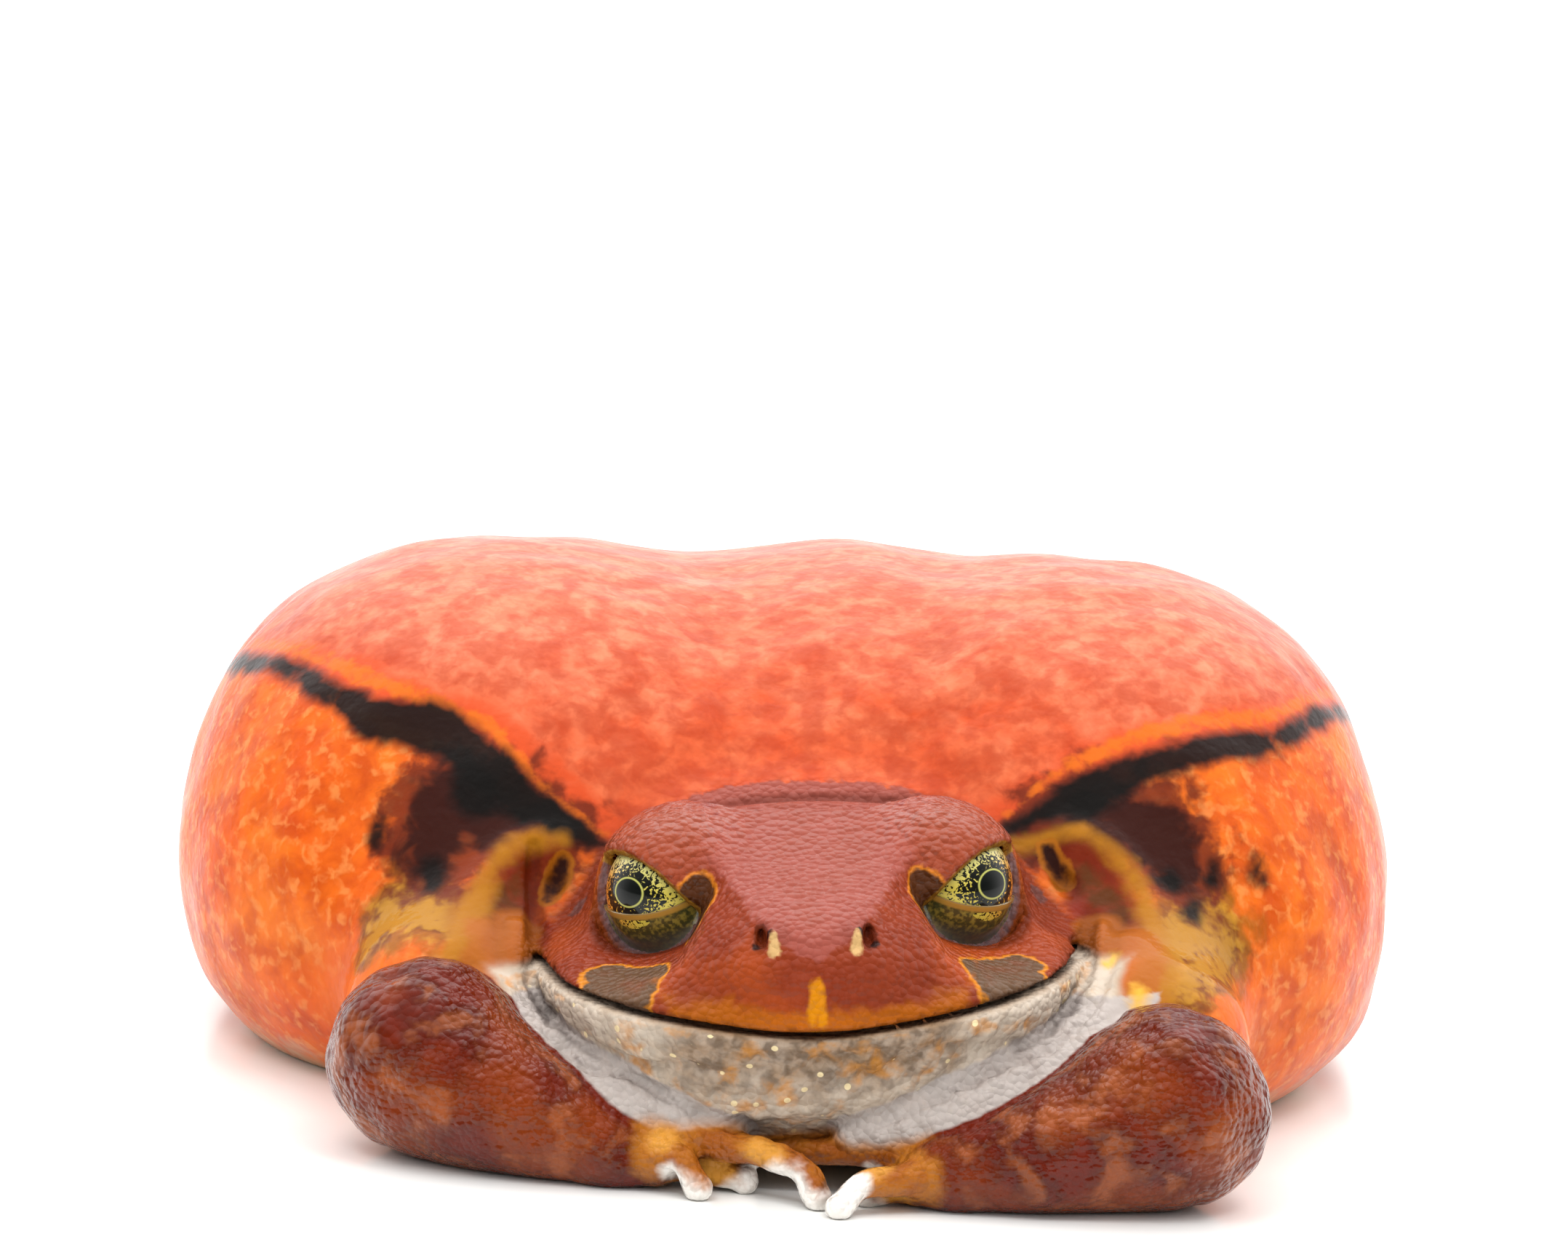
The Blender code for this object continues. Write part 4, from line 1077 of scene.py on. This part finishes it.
def noises(tree, place, sizes):
    """One noise for each named (size in mm, detail, distortion), read at the given place."""
    return {
        name: node(
            tree,
            "ShaderNodeTexNoise",
            {"Vector": place, "Scale": 1.0 / (size * MM), "Detail": detail, "Distortion": twist},
        ).outputs["Fac"]
        for name, (size, detail, twist) in sizes.items()
    }


def lay_over(tree, colour, value, low, high, code, strength, rise="SMOOTHSTEP"):
    """Lays a flat colour over another, by as much as the value has risen from low to high."""
    share = {"Value": value, "From Min": low, "From Max": high, "To Max": strength}
    share = node(tree, "ShaderNodeMapRange", share, interpolation_type=rise).outputs[0]
    mixed = {0: share, 6: colour, 7: linear(code)}
    return node(tree, "ShaderNodeMix", mixed, data_type="RGBA").outputs[2]


MARK_LOW, MARK_HIGH = -4.0, 2.0  # a mark counts no further out or in than this, in mm


def paint(tree, colour, patterns, layers):
    """Lays colours over one another. Each layer is its mark, level, softness in mm, noise, how far
    the noise moves the edge, colour and strength. The noise is about a half on the whole, so the
    level is raised by half of what the noise adds."""
    for mark, level, soft, pattern, ragged, code, strength in layers:
        edge = 0.0
        if mark:
            number = node(tree, "ShaderNodeAttribute", attribute_name=mark).outputs["Fac"]
            limits = {"Value": number, "Min": MARK_LOW, "Max": MARK_HIGH}
            edge = node(tree, "ShaderNodeClamp", limits).outputs[0]
        moved = {0: patterns[pattern], 1: ragged, 2: edge}
        moved = node(tree, "ShaderNodeMath", moved, operation="MULTIPLY_ADD").outputs[0]
        middle = level + ragged / 2.0
        colour = lay_over(tree, colour, moved, middle - soft, middle + soft, code, strength)
    return colour


# %% [markdown]
# The skin. Amphibian skin is thin, full of mucus glands and always wet: colour lies under a clear
# film of water, and fine grains break up the shine. Water has an IOR of 1.33, so its film is the
# coat, smooth enough for soft lights. Skin below it is about 1.4 and rough, and being wet it hardly
# shines by itself, so its own specular is low. Light also spreads a little inside the real skin;
# that is left out because it is slow to render, and the colours are a little warmer for it.

# %% The skin's material
# Each noise has its size in mm, its detail and its distortion. The dots are so far apart in mm.
SKIN_NOISES = {
    "cloud": (7.0, 2.0, 0.3),
    "mottle": (2.4, 3.0, 0.4),
    "blot": (1.7, 3.0, 0.3),
    "speck": (0.9, 2.0, 0.3),
    "grain": (0.35, 1.0, 0.0),
}
DOTS = 1.4
SKIN_BASE = "#d6560e"
SKIN_LAYERS = [
    (None, 0.0, 0.6, "cloud", 3.0, "#e4781c", 0.7),
    (None, 0.1, 0.5, "mottle", 3.0, "#aa3608", 0.65),
    (None, 0.25, 0.8, "blot", 3.0, "#ac360a", 0.3),
    (None, 0.25, 0.3, "speck", 2.5, "#e2904c", 0.5),
    ("belly", 0.0, 0.8, "mottle", 2.0, "#dccaa4", 1.0),
    ("flank_glow", 0.0, 1.6, "cloud", 2.0, "#e06006", 0.8),
    ("gold", -0.8, 1.0, "mottle", 5.0, "#8e5406", 0.9),
    ("gold", 0.2, 0.8, "blot", 6.0, "#5a2404", 0.7),
    ("gold", 0.6, 0.8, "speck", 5.0, "#c08a22", 0.55),
    ("back", -1.5, 0.8, "mottle", 1.6, "#c2461c", 1.0),
    ("back", 2.0, 1.2, "mottle", 4.0, "#dc7c50", 0.5),
    # Painted sheen on the top of the back.
    ("back_sheen", 0.0, 2.4, "mottle", 4.0, "#de8e6e", 0.5),
    ("back", 2.0, 0.6, "speck", 4.0, "#a23a1c", 0.35),
    ("back", 2.0, 0.6, "blot", 5.0, "#a0300e", 0.55),
    ("dusk", -1.2, 1.0, "blot", 7.0, "#64200a", 0.9),
    ("dusk", 0.3, 1.0, "mottle", 6.0, "#2a0802", 0.95),
    ("orange_line", 0.15, 0.35, "speck", 1.5, "#d06410", 0.8),
    ("stripe", -0.05, 0.6, "mottle", 1.6, "#070503", 0.98),
    ("blotch", 0.0, 0.55, "mottle", 1.6, "#080402", 0.96),
    ("on_leg", 0.4, 0.8, "mottle", 2.5, "#9a3410", 0.9),
    ("on_leg", 1.9, 0.6, "mottle", 5.0, "#5e1a06", 0.5),
    ("neck", 0.0, 1.0, "mottle", 2.0, "#6c1c02", 0.95),
    ("neck", 1.7, 0.8, "mottle", 5.0, "#4a2c04", 0.75),
    ("neck_band", -0.2, 0.5, "mottle", 1.5, "#a06608", 0.9),
    ("on_head", 0.2, 0.5, "speck", 1.0, "#86341a", 1.0),
    ("on_head", 1.8, 0.6, "mottle", 4.0, "#74260e", 0.5),
    ("on_head", 2.2, 0.6, "cloud", 6.0, "#ac4814", 0.5),
    ("crown", 0.0, 0.12, "speck", 0.9, "#90463a", 0.95),
    ("crown", 1.9, 0.5, "mottle", 4.0, "#8a4030", 0.6),
    ("brow", 0.0, 0.6, "speck", 2.0, "#94402c", 0.85),
    ("brow", 1.0, 0.8, "speck", 6.0, "#70202a", 0.5),
    ("cheek_patch", -0.2, 0.12, "speck", 0.8, "#c87a18", 0.95),
    ("cheek_patch", 0.04, 0.12, "speck", 0.8, "#5e4430", 1.0),
    ("cheek_patch", 1.3, 0.8, "mottle", 4.0, "#74402a", 0.7),
    ("grey_spot", 0.0, 0.15, "grain", 0.6, "#6a403a", 0.9),
    ("lip", 0.0, 0.5, "mottle", 2.5, "#b05c06", 0.85),
    ("nose_bar", 0.0, 0.15, "speck", 0.6, "#c87c00", 0.95),
    ("pit", -0.3, 0.12, "speck", 0.6, "#a05c08", 0.8),
    # Painted shade: the inside of the pit behind each eye is laid near black.
    ("pit", 0.05, 0.2, "speck", 0.6, "#200402", 0.98),
    ("corner", 0.0, 0.6, "speck", 1.5, "#7a1602", 0.7),
    ("lid", 0.0, 0.4, "speck", 1.0, "#8c3c22", 0.9),
    ("eye_patch", -0.18, 0.12, "speck", 0.8, "#c8741a", 0.9),
    ("eye_patch", 0.05, 0.14, "speck", 0.8, "#3e1e0e", 0.95),
    ("eye_ring", 0.0, 0.3, "speck", 1.2, "#a84c14", 0.8),
    ("margin", -0.05, 0.12, "grain", 0.2, "#8c787c", 0.85),
    ("lid_edge", 0.0, 0.08, "speck", 0.3, "#b8842a", 0.9),
    ("nostril_flap", 0.0, 0.15, "grain", 0.4, "#d0aa70", 0.9),
    # Painted shade inside the nostril.
    ("nostril_pit", 0.0, 0.12, "grain", 0.3, "#1c0604", 0.95),
    ("fold", 0.0, 0.4, "mottle", 1.5, "#a05410", 0.85),
    ("throat", 0.1, 1.0, "speck", 0.8, "#92765a", 1.0),
    ("throat", 1.9, 1.3, "mottle", 5.0, "#b0a294", 0.7),
    ("throat", 2.0, 1.0, "speck", 6.0, "#4e3a28", 0.7),
    ("throat_pale", 0.6, 2.0, "mottle", 3.0, "#cdbfae", 0.75),
    ("throat", 2.6, 0.7, "blot", 6.0, "#c07c20", 0.7),
    ("throat", 3.05, 0.06, "dots", 3.0, "#ecd8a8", 0.85),
    ("fold_pale", 0.1, 0.15, "speck", 0.5, "#aca29c", 0.95),
    ("fold_pale", 1.9, 0.9, "mottle", 5.0, "#7c6a62", 0.6),
    ("fold_pale", 2.9, 0.8, "blot", 6.0, "#bc8434", 0.6),
    ("yellow_bump", 0.0, 0.5, "speck", 1.0, "#dca838", 0.9),
    ("on_arm", 0.1, 0.4, "speck", 0.6, "#621600", 1.0),
    ("on_arm", 1.9, 0.7, "mottle", 5.0, "#340800", 0.7),
    ("on_arm", 2.1, 0.7, "cloud", 6.0, "#8a3a04", 0.55),
    ("on_arm", 2.5, 0.6, "mottle", 6.0, "#a85a30", 0.5),
    ("digit", 0.0, 0.5, "mottle", 1.6, "#b87220", 0.9),
    ("digit", 0.4, 0.3, "mottle", 1.6, "#7a2a06", 0.6),
    # Painted shade in the skin's hollows.
    ("hollow", 0.45, 0.35, "grain", 0.1, "#240a04", 0.55),
    ("digit_band", 0.0, 0.5, "speck", 0.8, "#d09038", 0.9),
    ("digit_tip", 0.0, 0.4, "speck", 0.8, "#f4efe8", 0.97),
    # Painted shade in the cleft between the lips.
    ("mouth", 0.0, 0.15, "grain", 0.3, "#1e1006", 0.8),
    # Painted shade along the grooves.
    ("crease", 0.1, 0.16, "grain", 0.3, "#2a1410", 0.5),
]

# Pebbles of the skin: their size in mm, and how high they stand outside and inside a mark.
PEBBLES = [(0.65, "brow", 0.08, 1.3), (0.5, "on_head", 0.04, 0.9), (0.6, "on_arm", 0.0, 0.6)]
PEBBLES_FROM, PEBBLES_FULL = -0.6, 0.8  # they rise between these distances inside their mark
SPECK_RELIEF = -0.25  # the specks' share in the relief
RELIEF = 0.3  # how high the whole relief stands, in mm


def frog_skin():
    """Wet, granular skin: painted layers under a film of water."""
    made, tree = new_material("wet_frog_skin")
    place = node(tree, "ShaderNodeTexCoord").outputs["Object"]
    patterns = noises(tree, place, SKIN_NOISES)
    base = node(tree, "ShaderNodeRGB")
    base.outputs[0].default_value = linear(SKIN_BASE)
    cells = {"Vector": place, "Scale": 1.0 / (DOTS * MM)}
    cells = node(tree, "ShaderNodeTexVoronoi", cells).outputs["Distance"]
    dots = node(tree, "ShaderNodeMath", {0: 1.0, 1: cells}, operation="SUBTRACT")
    patterns["dots"] = dots.outputs[0]
    colour = paint(tree, base.outputs[0], patterns, SKIN_LAYERS)
    height = {0: patterns["speck"], 1: SPECK_RELIEF, 2: 0.0}
    height = node(tree, "ShaderNodeMath", height, operation="MULTIPLY_ADD").outputs[0]
    for size, mark, low, high in PEBBLES:
        part = node(tree, "ShaderNodeAttribute", attribute_name=mark).outputs["Fac"]
        part = {"Value": part, "From Min": PEBBLES_FROM, "From Max": PEBBLES_FULL}
        part.update({"To Min": low, "To Max": high})
        part = node(tree, "ShaderNodeMapRange", part, interpolation_type="SMOOTHSTEP").outputs[0]
        cells = {"Vector": place, "Scale": 1.0 / (size * MM)}
        cells = node(tree, "ShaderNodeTexVoronoi", cells).outputs["Distance"]
        height = {0: cells, 1: part, 2: height}
        height = node(tree, "ShaderNodeMath", height, operation="MULTIPLY_ADD").outputs[0]
    bump = {"Height": height, "Strength": 0.8, "Distance": RELIEF * MM}
    bump = node(tree, "ShaderNodeBump", bump, invert=True)
    film = node(tree, "ShaderNodeAttribute", attribute_name="film").outputs["Fac"]
    shader = {
        "Base Color": colour,
        "Roughness": 0.5,
        "IOR": 1.4,
        "Specular IOR Level": 0.08,
        "Normal": bump.outputs[0],
        "Coat Normal": bump.outputs[0],
        "Coat Weight": film,
        "Coat Roughness": 0.11,
        "Coat IOR": 1.33,
    }
    shader = node(tree, "ShaderNodeBsdfPrincipled", shader)
    node(tree, "ShaderNodeOutputMaterial", {"Surface": shader.outputs[0]})
    return made


skin.data.materials.append(frog_skin())
print("layers of colour on the skin:", len(SKIN_LAYERS))

# %% [markdown]
# The eyes. Each is a ball whose pole is the middle of the pupil, with the cornea standing a little
# proud of it. In front lies the lower lid, which in a frog is a thin, see-through sheet with a
# golden edge: half drawn up here, it cuts the iris off below the pupil. What shows through it is
# painted on it, dim, because a clear sheet needs many more samples to render cleanly.

# %% The eyes
GAZE = np.array((0.66, 0.72, 0.21)) / np.linalg.norm((0.66, 0.72, 0.21))
CORNEA = 0.12  # how far the cornea stands proud of the ball
MEMBRANE_ABOVE, MEMBRANE_RIM = 0.09, 0.12  # how far the sheet and its edge stand off the ball
MARGIN_LEVEL, MARGIN_ROLL = 1.35, 0.32  # where along the eye's axis its lower roll is, its height
ROLL_WIDTH = 0.3  # of both rolls
EYE_RINGS, EYE_CROWDING, EYE_AROUND = 72, 1.4, 120  # rings, closer at the gaze, and points in each
CORNEA_SPREAD = 0.8  # how far from the gaze the cornea reaches, in radians
MEMBRANE_FROM, MEMBRANE_TO, MEMBRANE_FOOT = -0.35, 2.15, -1.25  # the sheet's sides and foot, in radians
MEMBRANE_ACROSS, MEMBRANE_DOWN, MEMBRANE_CROWDING = 90, 26, 1.6  # its points, closer at its edge
MEMBRANE_INSIDE = 0.1  # how far its back lies inside the ball
EDGE_SAG, EDGE_MIDDLE, EDGE_HALF = 0.35, 1.6, 2.6  # how deep its edge hangs, where, and how widely
EDGE_FALL, EDGE_RISE = 0.185, 0.1  # how it falls outwards and rises forwards


def tube_faces(rings, around):
    """The vertex numbers of closed rings, and the four-sided faces between neighbouring rings."""
    index = np.arange(rings * around).reshape(rings, around)
    following = np.roll(index, -1, axis=1)
    quads = np.stack([index[:-1], index[1:], following[1:], following[:-1]], axis=-1)
    return index, quads.reshape(-1, 4).tolist()


def eyeball(side, mirror, eye):
    """A ball from rings round the gaze: a point is the gaze turned by the ring's angle towards
    its own side, times the radius. Each vertex keeps its place on the iris in mm."""
    gaze = GAZE * mirror
    outward = np.cross(gaze, (0.0, 0.0, 1.0)) * -mirror[0]
    outward /= np.linalg.norm(outward)
    upward = np.cross(outward, gaze) * -mirror[0]
    upward *= np.sign(upward[2])
    tilt = (np.linspace(0.0, 1.0, EYE_RINGS)[1:-1] ** EYE_CROWDING * math.pi)[:, None]
    turned = np.linspace(0.0, 2.0 * math.pi, EYE_AROUND, endpoint=False)[None]
    flat = np.stack([tilt * np.cos(turned), tilt * np.sin(turned), 0.0 * tilt * turned], axis=-1)
    aside = np.cos(turned)[..., None] * outward + np.sin(turned)[..., None] * upward
    away = np.cos(tilt)[..., None] * gaze + np.sin(tilt)[..., None] * aside
    radius = EYE_RADIUS + CORNEA * np.exp(-((tilt / CORNEA_SPREAD) ** 4))[..., None]
    poles = eye + gaze * (EYE_RADIUS + CORNEA), eye - gaze * EYE_RADIUS
    points = np.vstack([(eye + away * radius).reshape(-1, 3), *poles])
    poles = (0.0, 0.0, 0.0), (math.pi * EYE_RADIUS, 0.0, 0.0)
    iris = np.vstack([flat.reshape(-1, 3) * EYE_RADIUS, *poles])
    rings, around = away.shape[:2]
    index, quads = tube_faces(rings, around)
    following = np.roll(index, -1, axis=1)
    front = np.stack([index[0], following[0], np.full(around, rings * around)], axis=-1)
    back = np.stack([following[-1], index[-1], np.full(around, rings * around + 1)], axis=-1)
    faces = [*quads, *front.tolist(), *back.tolist()]
    piece = make_piece("eyeball_" + side, from_head(points), faces)
    turn_outward(piece.data)
    layer = piece.data.attributes.new("iris", "FLOAT_VECTOR", "POINT")
    layer.data.foreach_set("vector", iris.astype(np.float32).ravel())
    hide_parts("eye_" + side)
    return piece


def turn_outward(mesh):
    """Turns a closed mesh's faces so that they all point out of it."""
    work = bmesh.new()
    work.from_mesh(mesh)
    bmesh.ops.recalc_face_normals(work, faces=work.faces)
    work.to_mesh(mesh)
    work.free()


def rim_height(x, y):
    """Height of the membrane's edge above the eye's middle, over a point of the ball: a parabola
    that hangs down, on a plane."""
    return -EDGE_SAG * (1.0 - ((x - EDGE_MIDDLE) / EDGE_HALF) ** 2) - EDGE_FALL * x + EDGE_RISE * y


def sphere_ways(tilt, bearing):
    """Directions from the eye's middle, from their height and their bearing."""
    flat = np.cos(tilt)
    return np.stack([flat * np.cos(bearing), flat * np.sin(bearing), np.sin(tilt)], axis=-1)


def with_back(rows, last, first):
    """Adds two columns, one behind each row's end and one behind its start."""
    return np.concatenate([rows, last, first], axis=1)


def membrane(side, mirror, eye):
    """A thin shell over the lower front of the eyeball, closed behind inside the ball. Its radius
    swells like a bell curve along its upper edge and along the lower roll."""
    bearing = np.linspace(MEMBRANE_FROM, MEMBRANE_TO, MEMBRANE_ACROSS)[:, None]
    edge = rim_height(EYE_RADIUS * np.cos(bearing), EYE_RADIUS * np.sin(bearing))
    top = np.arcsin(edge / EYE_RADIUS)
    down = np.linspace(0.0, 1.0, MEMBRANE_DOWN)[None] ** MEMBRANE_CROWDING
    tilt = top + (MEMBRANE_FOOT - top) * down
    below = (top - tilt) * EYE_RADIUS
    radius = EYE_RADIUS + MEMBRANE_ABOVE + MEMBRANE_RIM * np.exp(-((below / ROLL_WIDTH) ** 2))
    margin = EYE_RADIUS * sphere_ways(tilt, bearing) @ EYE_AXIS - MARGIN_LEVEL
    radius = radius + MARGIN_ROLL * np.exp(-((margin / ROLL_WIDTH) ** 2))
    inner = np.full_like(bearing, EYE_RADIUS - MEMBRANE_INSIDE)
    radius = with_back(radius, inner, inner)
    margin = with_back(margin, margin[:, -1:], margin[:, :1])
    tilt = with_back(tilt, tilt[:, -1:], tilt[:, :1])
    below = with_back(below, below[:, -1:], below[:, :1])
    shell = sphere_ways(tilt, bearing) * radius[..., None]
    points = eye + shell.reshape(-1, 3) * mirror
    index, quads = tube_faces(*tilt.shape)
    faces = [*quads, index[0].tolist(), index[-1].tolist()]
    piece = make_piece("lower_membrane_" + side, from_head(points), faces)
    turn_outward(piece.data)
    add_number(piece.data, "below_rim", below.ravel())
    add_number(piece.data, "margin", margin.ravel())
    add_number(piece.data, "round_eye", (bearing * EYE_RADIUS + 0.0 * tilt).ravel())
    return piece


IRIS_NET, IRIS_DUST = 2.6, 7.0  # meshes in a mm of the black net and of its fine grain
PUPIL_WIDTH = 0.8  # the pupil is an oval lying down, so distances across it count for less
PIGMENT = (0.585, 0.635)  # between these the net turns from gold to black
IRIS_RINGS = ((0.96, 0.9, "#b9b860", 0.9), (0.86, 0.8, "#060907", 1.0))  # the rim and the pupil


def iris_material():
    """A gold iris under a wet cornea, whose IOR is 1.38, so the eye has its own sharp lights.
    Black pigment lies over the gold in a net, thicker near the pupil."""
    made, tree = new_material("frog_eye_wet_cornea")
    place = node(tree, "ShaderNodeAttribute", attribute_name="iris").outputs["Vector"]
    split = node(tree, "ShaderNodeSeparateXYZ", {0: place}).outputs
    wide = {0: place, 1: (PUPIL_WIDTH, 1.0, 1.0)}
    wide = node(tree, "ShaderNodeVectorMath", wide, operation="MULTIPLY").outputs[0]
    reach = node(tree, "ShaderNodeVectorMath", {0: wide}, operation="LENGTH").outputs["Value"]
    net = {"Vector": place, "Scale": IRIS_NET, "Detail": 3.0, "Distortion": 1.6}
    net = node(tree, "ShaderNodeTexNoise", net).outputs["Fac"]
    fine = {"Vector": place, "Scale": IRIS_DUST, "Detail": 2.0}
    fine = node(tree, "ShaderNodeTexNoise", fine).outputs["Fac"]
    gold = linear("#d9862c")
    gold = lay_over(tree, gold, split[0], -2.2, 0.9, "#c9b84a", 1.0, "LINEAR")
    gold = lay_over(tree, gold, split[1], 0.2, 2.0, "#cfd08a", 0.8, "LINEAR")
    near = {"Value": reach, "From Min": 0.8, "From Max": 2.4, "To Min": 0.17, "To Max": -0.08}
    near = node(tree, "ShaderNodeMapRange", near).outputs[0]
    dark = node(tree, "ShaderNodeMath", {0: net, 1: near}, operation="ADD").outputs[0]
    dark = node(tree, "ShaderNodeMath", {0: fine, 1: 0.2, 2: dark}, operation="MULTIPLY_ADD").outputs[0]
    colour = lay_over(tree, gold, dark, *PIGMENT, "#0d0e08", 1.0, "LINEAR")
    for ring in IRIS_RINGS:
        colour = lay_over(tree, colour, reach, *ring, "LINEAR")
    shader = {"Base Color": colour, "Roughness": 0.4, "IOR": 1.38, "Specular IOR Level": 0.15}
    shader.update({"Coat Weight": 0.8, "Coat Roughness": 0.03, "Coat IOR": 1.38})
    shader = node(tree, "ShaderNodeBsdfPrincipled", shader)
    node(tree, "ShaderNodeOutputMaterial", {"Surface": shader.outputs[0]})
    return made


GOLD_DUST = 0.3  # size of the dust's clouds in mm


def membrane_material():
    """Thin wet skin over the ball, olive with gold dust, its edge golden, its lower part pale.
    Tissue's IOR is about 1.38, and its wet film makes one small, soft light."""
    made, tree = new_material("wet_eyelid_membrane")
    place = node(tree, "ShaderNodeTexCoord").outputs["Object"]
    below = node(tree, "ShaderNodeAttribute", attribute_name="below_rim").outputs["Fac"]
    along = node(tree, "ShaderNodeAttribute", attribute_name="round_eye").outputs["Fac"]
    margin = node(tree, "ShaderNodeAttribute", attribute_name="margin").outputs["Fac"]
    dust = {"Vector": place, "Scale": 1.0 / (GOLD_DUST * MM), "Detail": 3.0}
    dust = node(tree, "ShaderNodeTexNoise", dust).outputs["Fac"]
    olive = linear("#3c3d1c")
    colour = lay_over(tree, olive, dust, 0.45, 0.62, "#857530", 1.0, "LINEAR")
    for layer in (
        (below, 1.2, 2.4, "#5a5850", 0.8),
        (along, 6.3, 7.2, "#3c5068", 0.85),
        (margin, 0.3, 0.1, "#a08a8c", 0.9),
        (below, 0.5, 0.3, "#b58a3a", 0.95),
        (below, 0.12, 0.0, "#4a3c1c", 0.6),
    ):
        colour = lay_over(tree, colour, *layer)
    shader = {"Base Color": colour, "Roughness": 0.3, "IOR": 1.38}
    shader.update({"Coat Weight": 1.0, "Coat Roughness": 0.06})
    shader = node(tree, "ShaderNodeBsdfPrincipled", shader)
    node(tree, "ShaderNodeOutputMaterial", {"Surface": shader.outputs[0]})
    return made


iris_look, membrane_look = iris_material(), membrane_material()
for side, (mirror, eye) in zip(EYES, eyes_mirrored()):
    eyeball(side, mirror, eye).data.materials.append(iris_look)
    membrane(side, mirror, eye).data.materials.append(membrane_look)
print("eyes:", ", ".join(EYES))

# %% [markdown]
# The picture is high key: everything round the frog is white. A world that grows brighter towards
# the back and the top does the work of a white room, with no walls to build. Two small lamps in
# front give the face a soft shape. The wet film would mirror the room as a grey haze, so for
# reflections alone the front is dark, the ceiling is dimmed and the lamps are hidden.

# %% Floor and light
ROOM_FRONT, ROOM_BACK, ROOM_TOP = 0.45, 1.35, 1.9  # brightness of the room's parts
CEILING_IN_GLOSS, FRONT_IN_GLOSS = 0.5, 0.06  # the ceiling's share and the front in reflections
FRONT_TO_BACK, SIDE_TO_TOP = (-0.35, 0.5), (0.15, 1.0)  # directions between which they pass over
FLOOR_SIZE = 4.0
LAMPS = {"lamp_right": (-0.13, -0.24, 0.38), "lamp_left": (0.15, -0.2, 0.4)}
LAMP_SIZE, LAMP_WATTS = 0.15, 0.4


def white_room():
    """The world's light: front and back from the direction's y, and the ceiling added by its z."""
    world = bpy.data.worlds.new("white_room")
    bpy.context.scene.world = world
    world.use_nodes = True
    room = world.node_tree
    room.nodes.clear()
    way = node(room, "ShaderNodeTexCoord").outputs["Generated"]
    way = node(room, "ShaderNodeSeparateXYZ", {0: way}).outputs
    ray = node(room, "ShaderNodeLightPath").outputs
    front = {"Value": ray["Is Glossy Ray"], "To Min": ROOM_FRONT, "To Max": FRONT_IN_GLOSS}
    front = node(room, "ShaderNodeMapRange", front).outputs[0]
    back = {"Value": way[1], "From Min": FRONT_TO_BACK[0], "From Max": FRONT_TO_BACK[1]}
    back.update({"To Min": front, "To Max": ROOM_BACK})
    back = node(room, "ShaderNodeMapRange", back, interpolation_type="SMOOTHSTEP").outputs[0]
    top = {"Value": way[2], "From Min": SIDE_TO_TOP[0], "From Max": SIDE_TO_TOP[1]}
    top["To Max"] = ROOM_TOP
    top = node(room, "ShaderNodeMapRange", top).outputs[0]
    kept = {"Value": ray["Is Glossy Ray"], "To Min": 1.0, "To Max": CEILING_IN_GLOSS}
    kept = node(room, "ShaderNodeMapRange", kept).outputs[0]
    glow = node(room, "ShaderNodeMath", {0: top, 1: kept, 2: back}, operation="MULTIPLY_ADD")
    seen = {0: glow.outputs[0], 1: ray["Is Camera Ray"]}
    glow = node(room, "ShaderNodeMath", seen, operation="MAXIMUM").outputs[0]
    glow = node(room, "ShaderNodeBackground", {"Color": (1.0, 1.0, 1.0, 1.0), "Strength": glow})
    node(room, "ShaderNodeOutputWorld", {"Surface": glow.outputs[0]})


def white_floor():
    """A flat sheet of glossy acrylic, whose IOR is 1.49: it mirrors the frog's foot softly."""
    bpy.ops.mesh.primitive_plane_add(size=FLOOR_SIZE)
    floor = bpy.context.object
    floor.name = "floor"
    look, tree = new_material("glossy_white_acrylic")
    shader = {"Base Color": linear("#f2f3f1"), "Roughness": 0.18, "IOR": 1.49}
    shader = node(tree, "ShaderNodeBsdfPrincipled", shader)
    node(tree, "ShaderNodeOutputMaterial", {"Surface": shader.outputs[0]})
    floor.data.materials.append(look)


def lamp(name, place):
    """A round soft lamp that faces the frog's middle on the floor."""
    data = bpy.data.lights.new(name, "AREA")
    data.shape = "DISK"
    data.size = LAMP_SIZE
    data.energy = LAMP_WATTS
    made = bpy.data.objects.new(name, data)
    made.location = place
    made.visible_glossy = False
    made.rotation_euler = (-Vector(place)).to_track_quat("-Z", "Y").to_euler()
    bpy.context.scene.collection.objects.link(made)


bpy.context.scene.view_settings.view_transform = "Standard"
white_room()
white_floor()
for name, place in LAMPS.items():
    lamp(name, place)
print("lamps:", ", ".join(LAMPS))
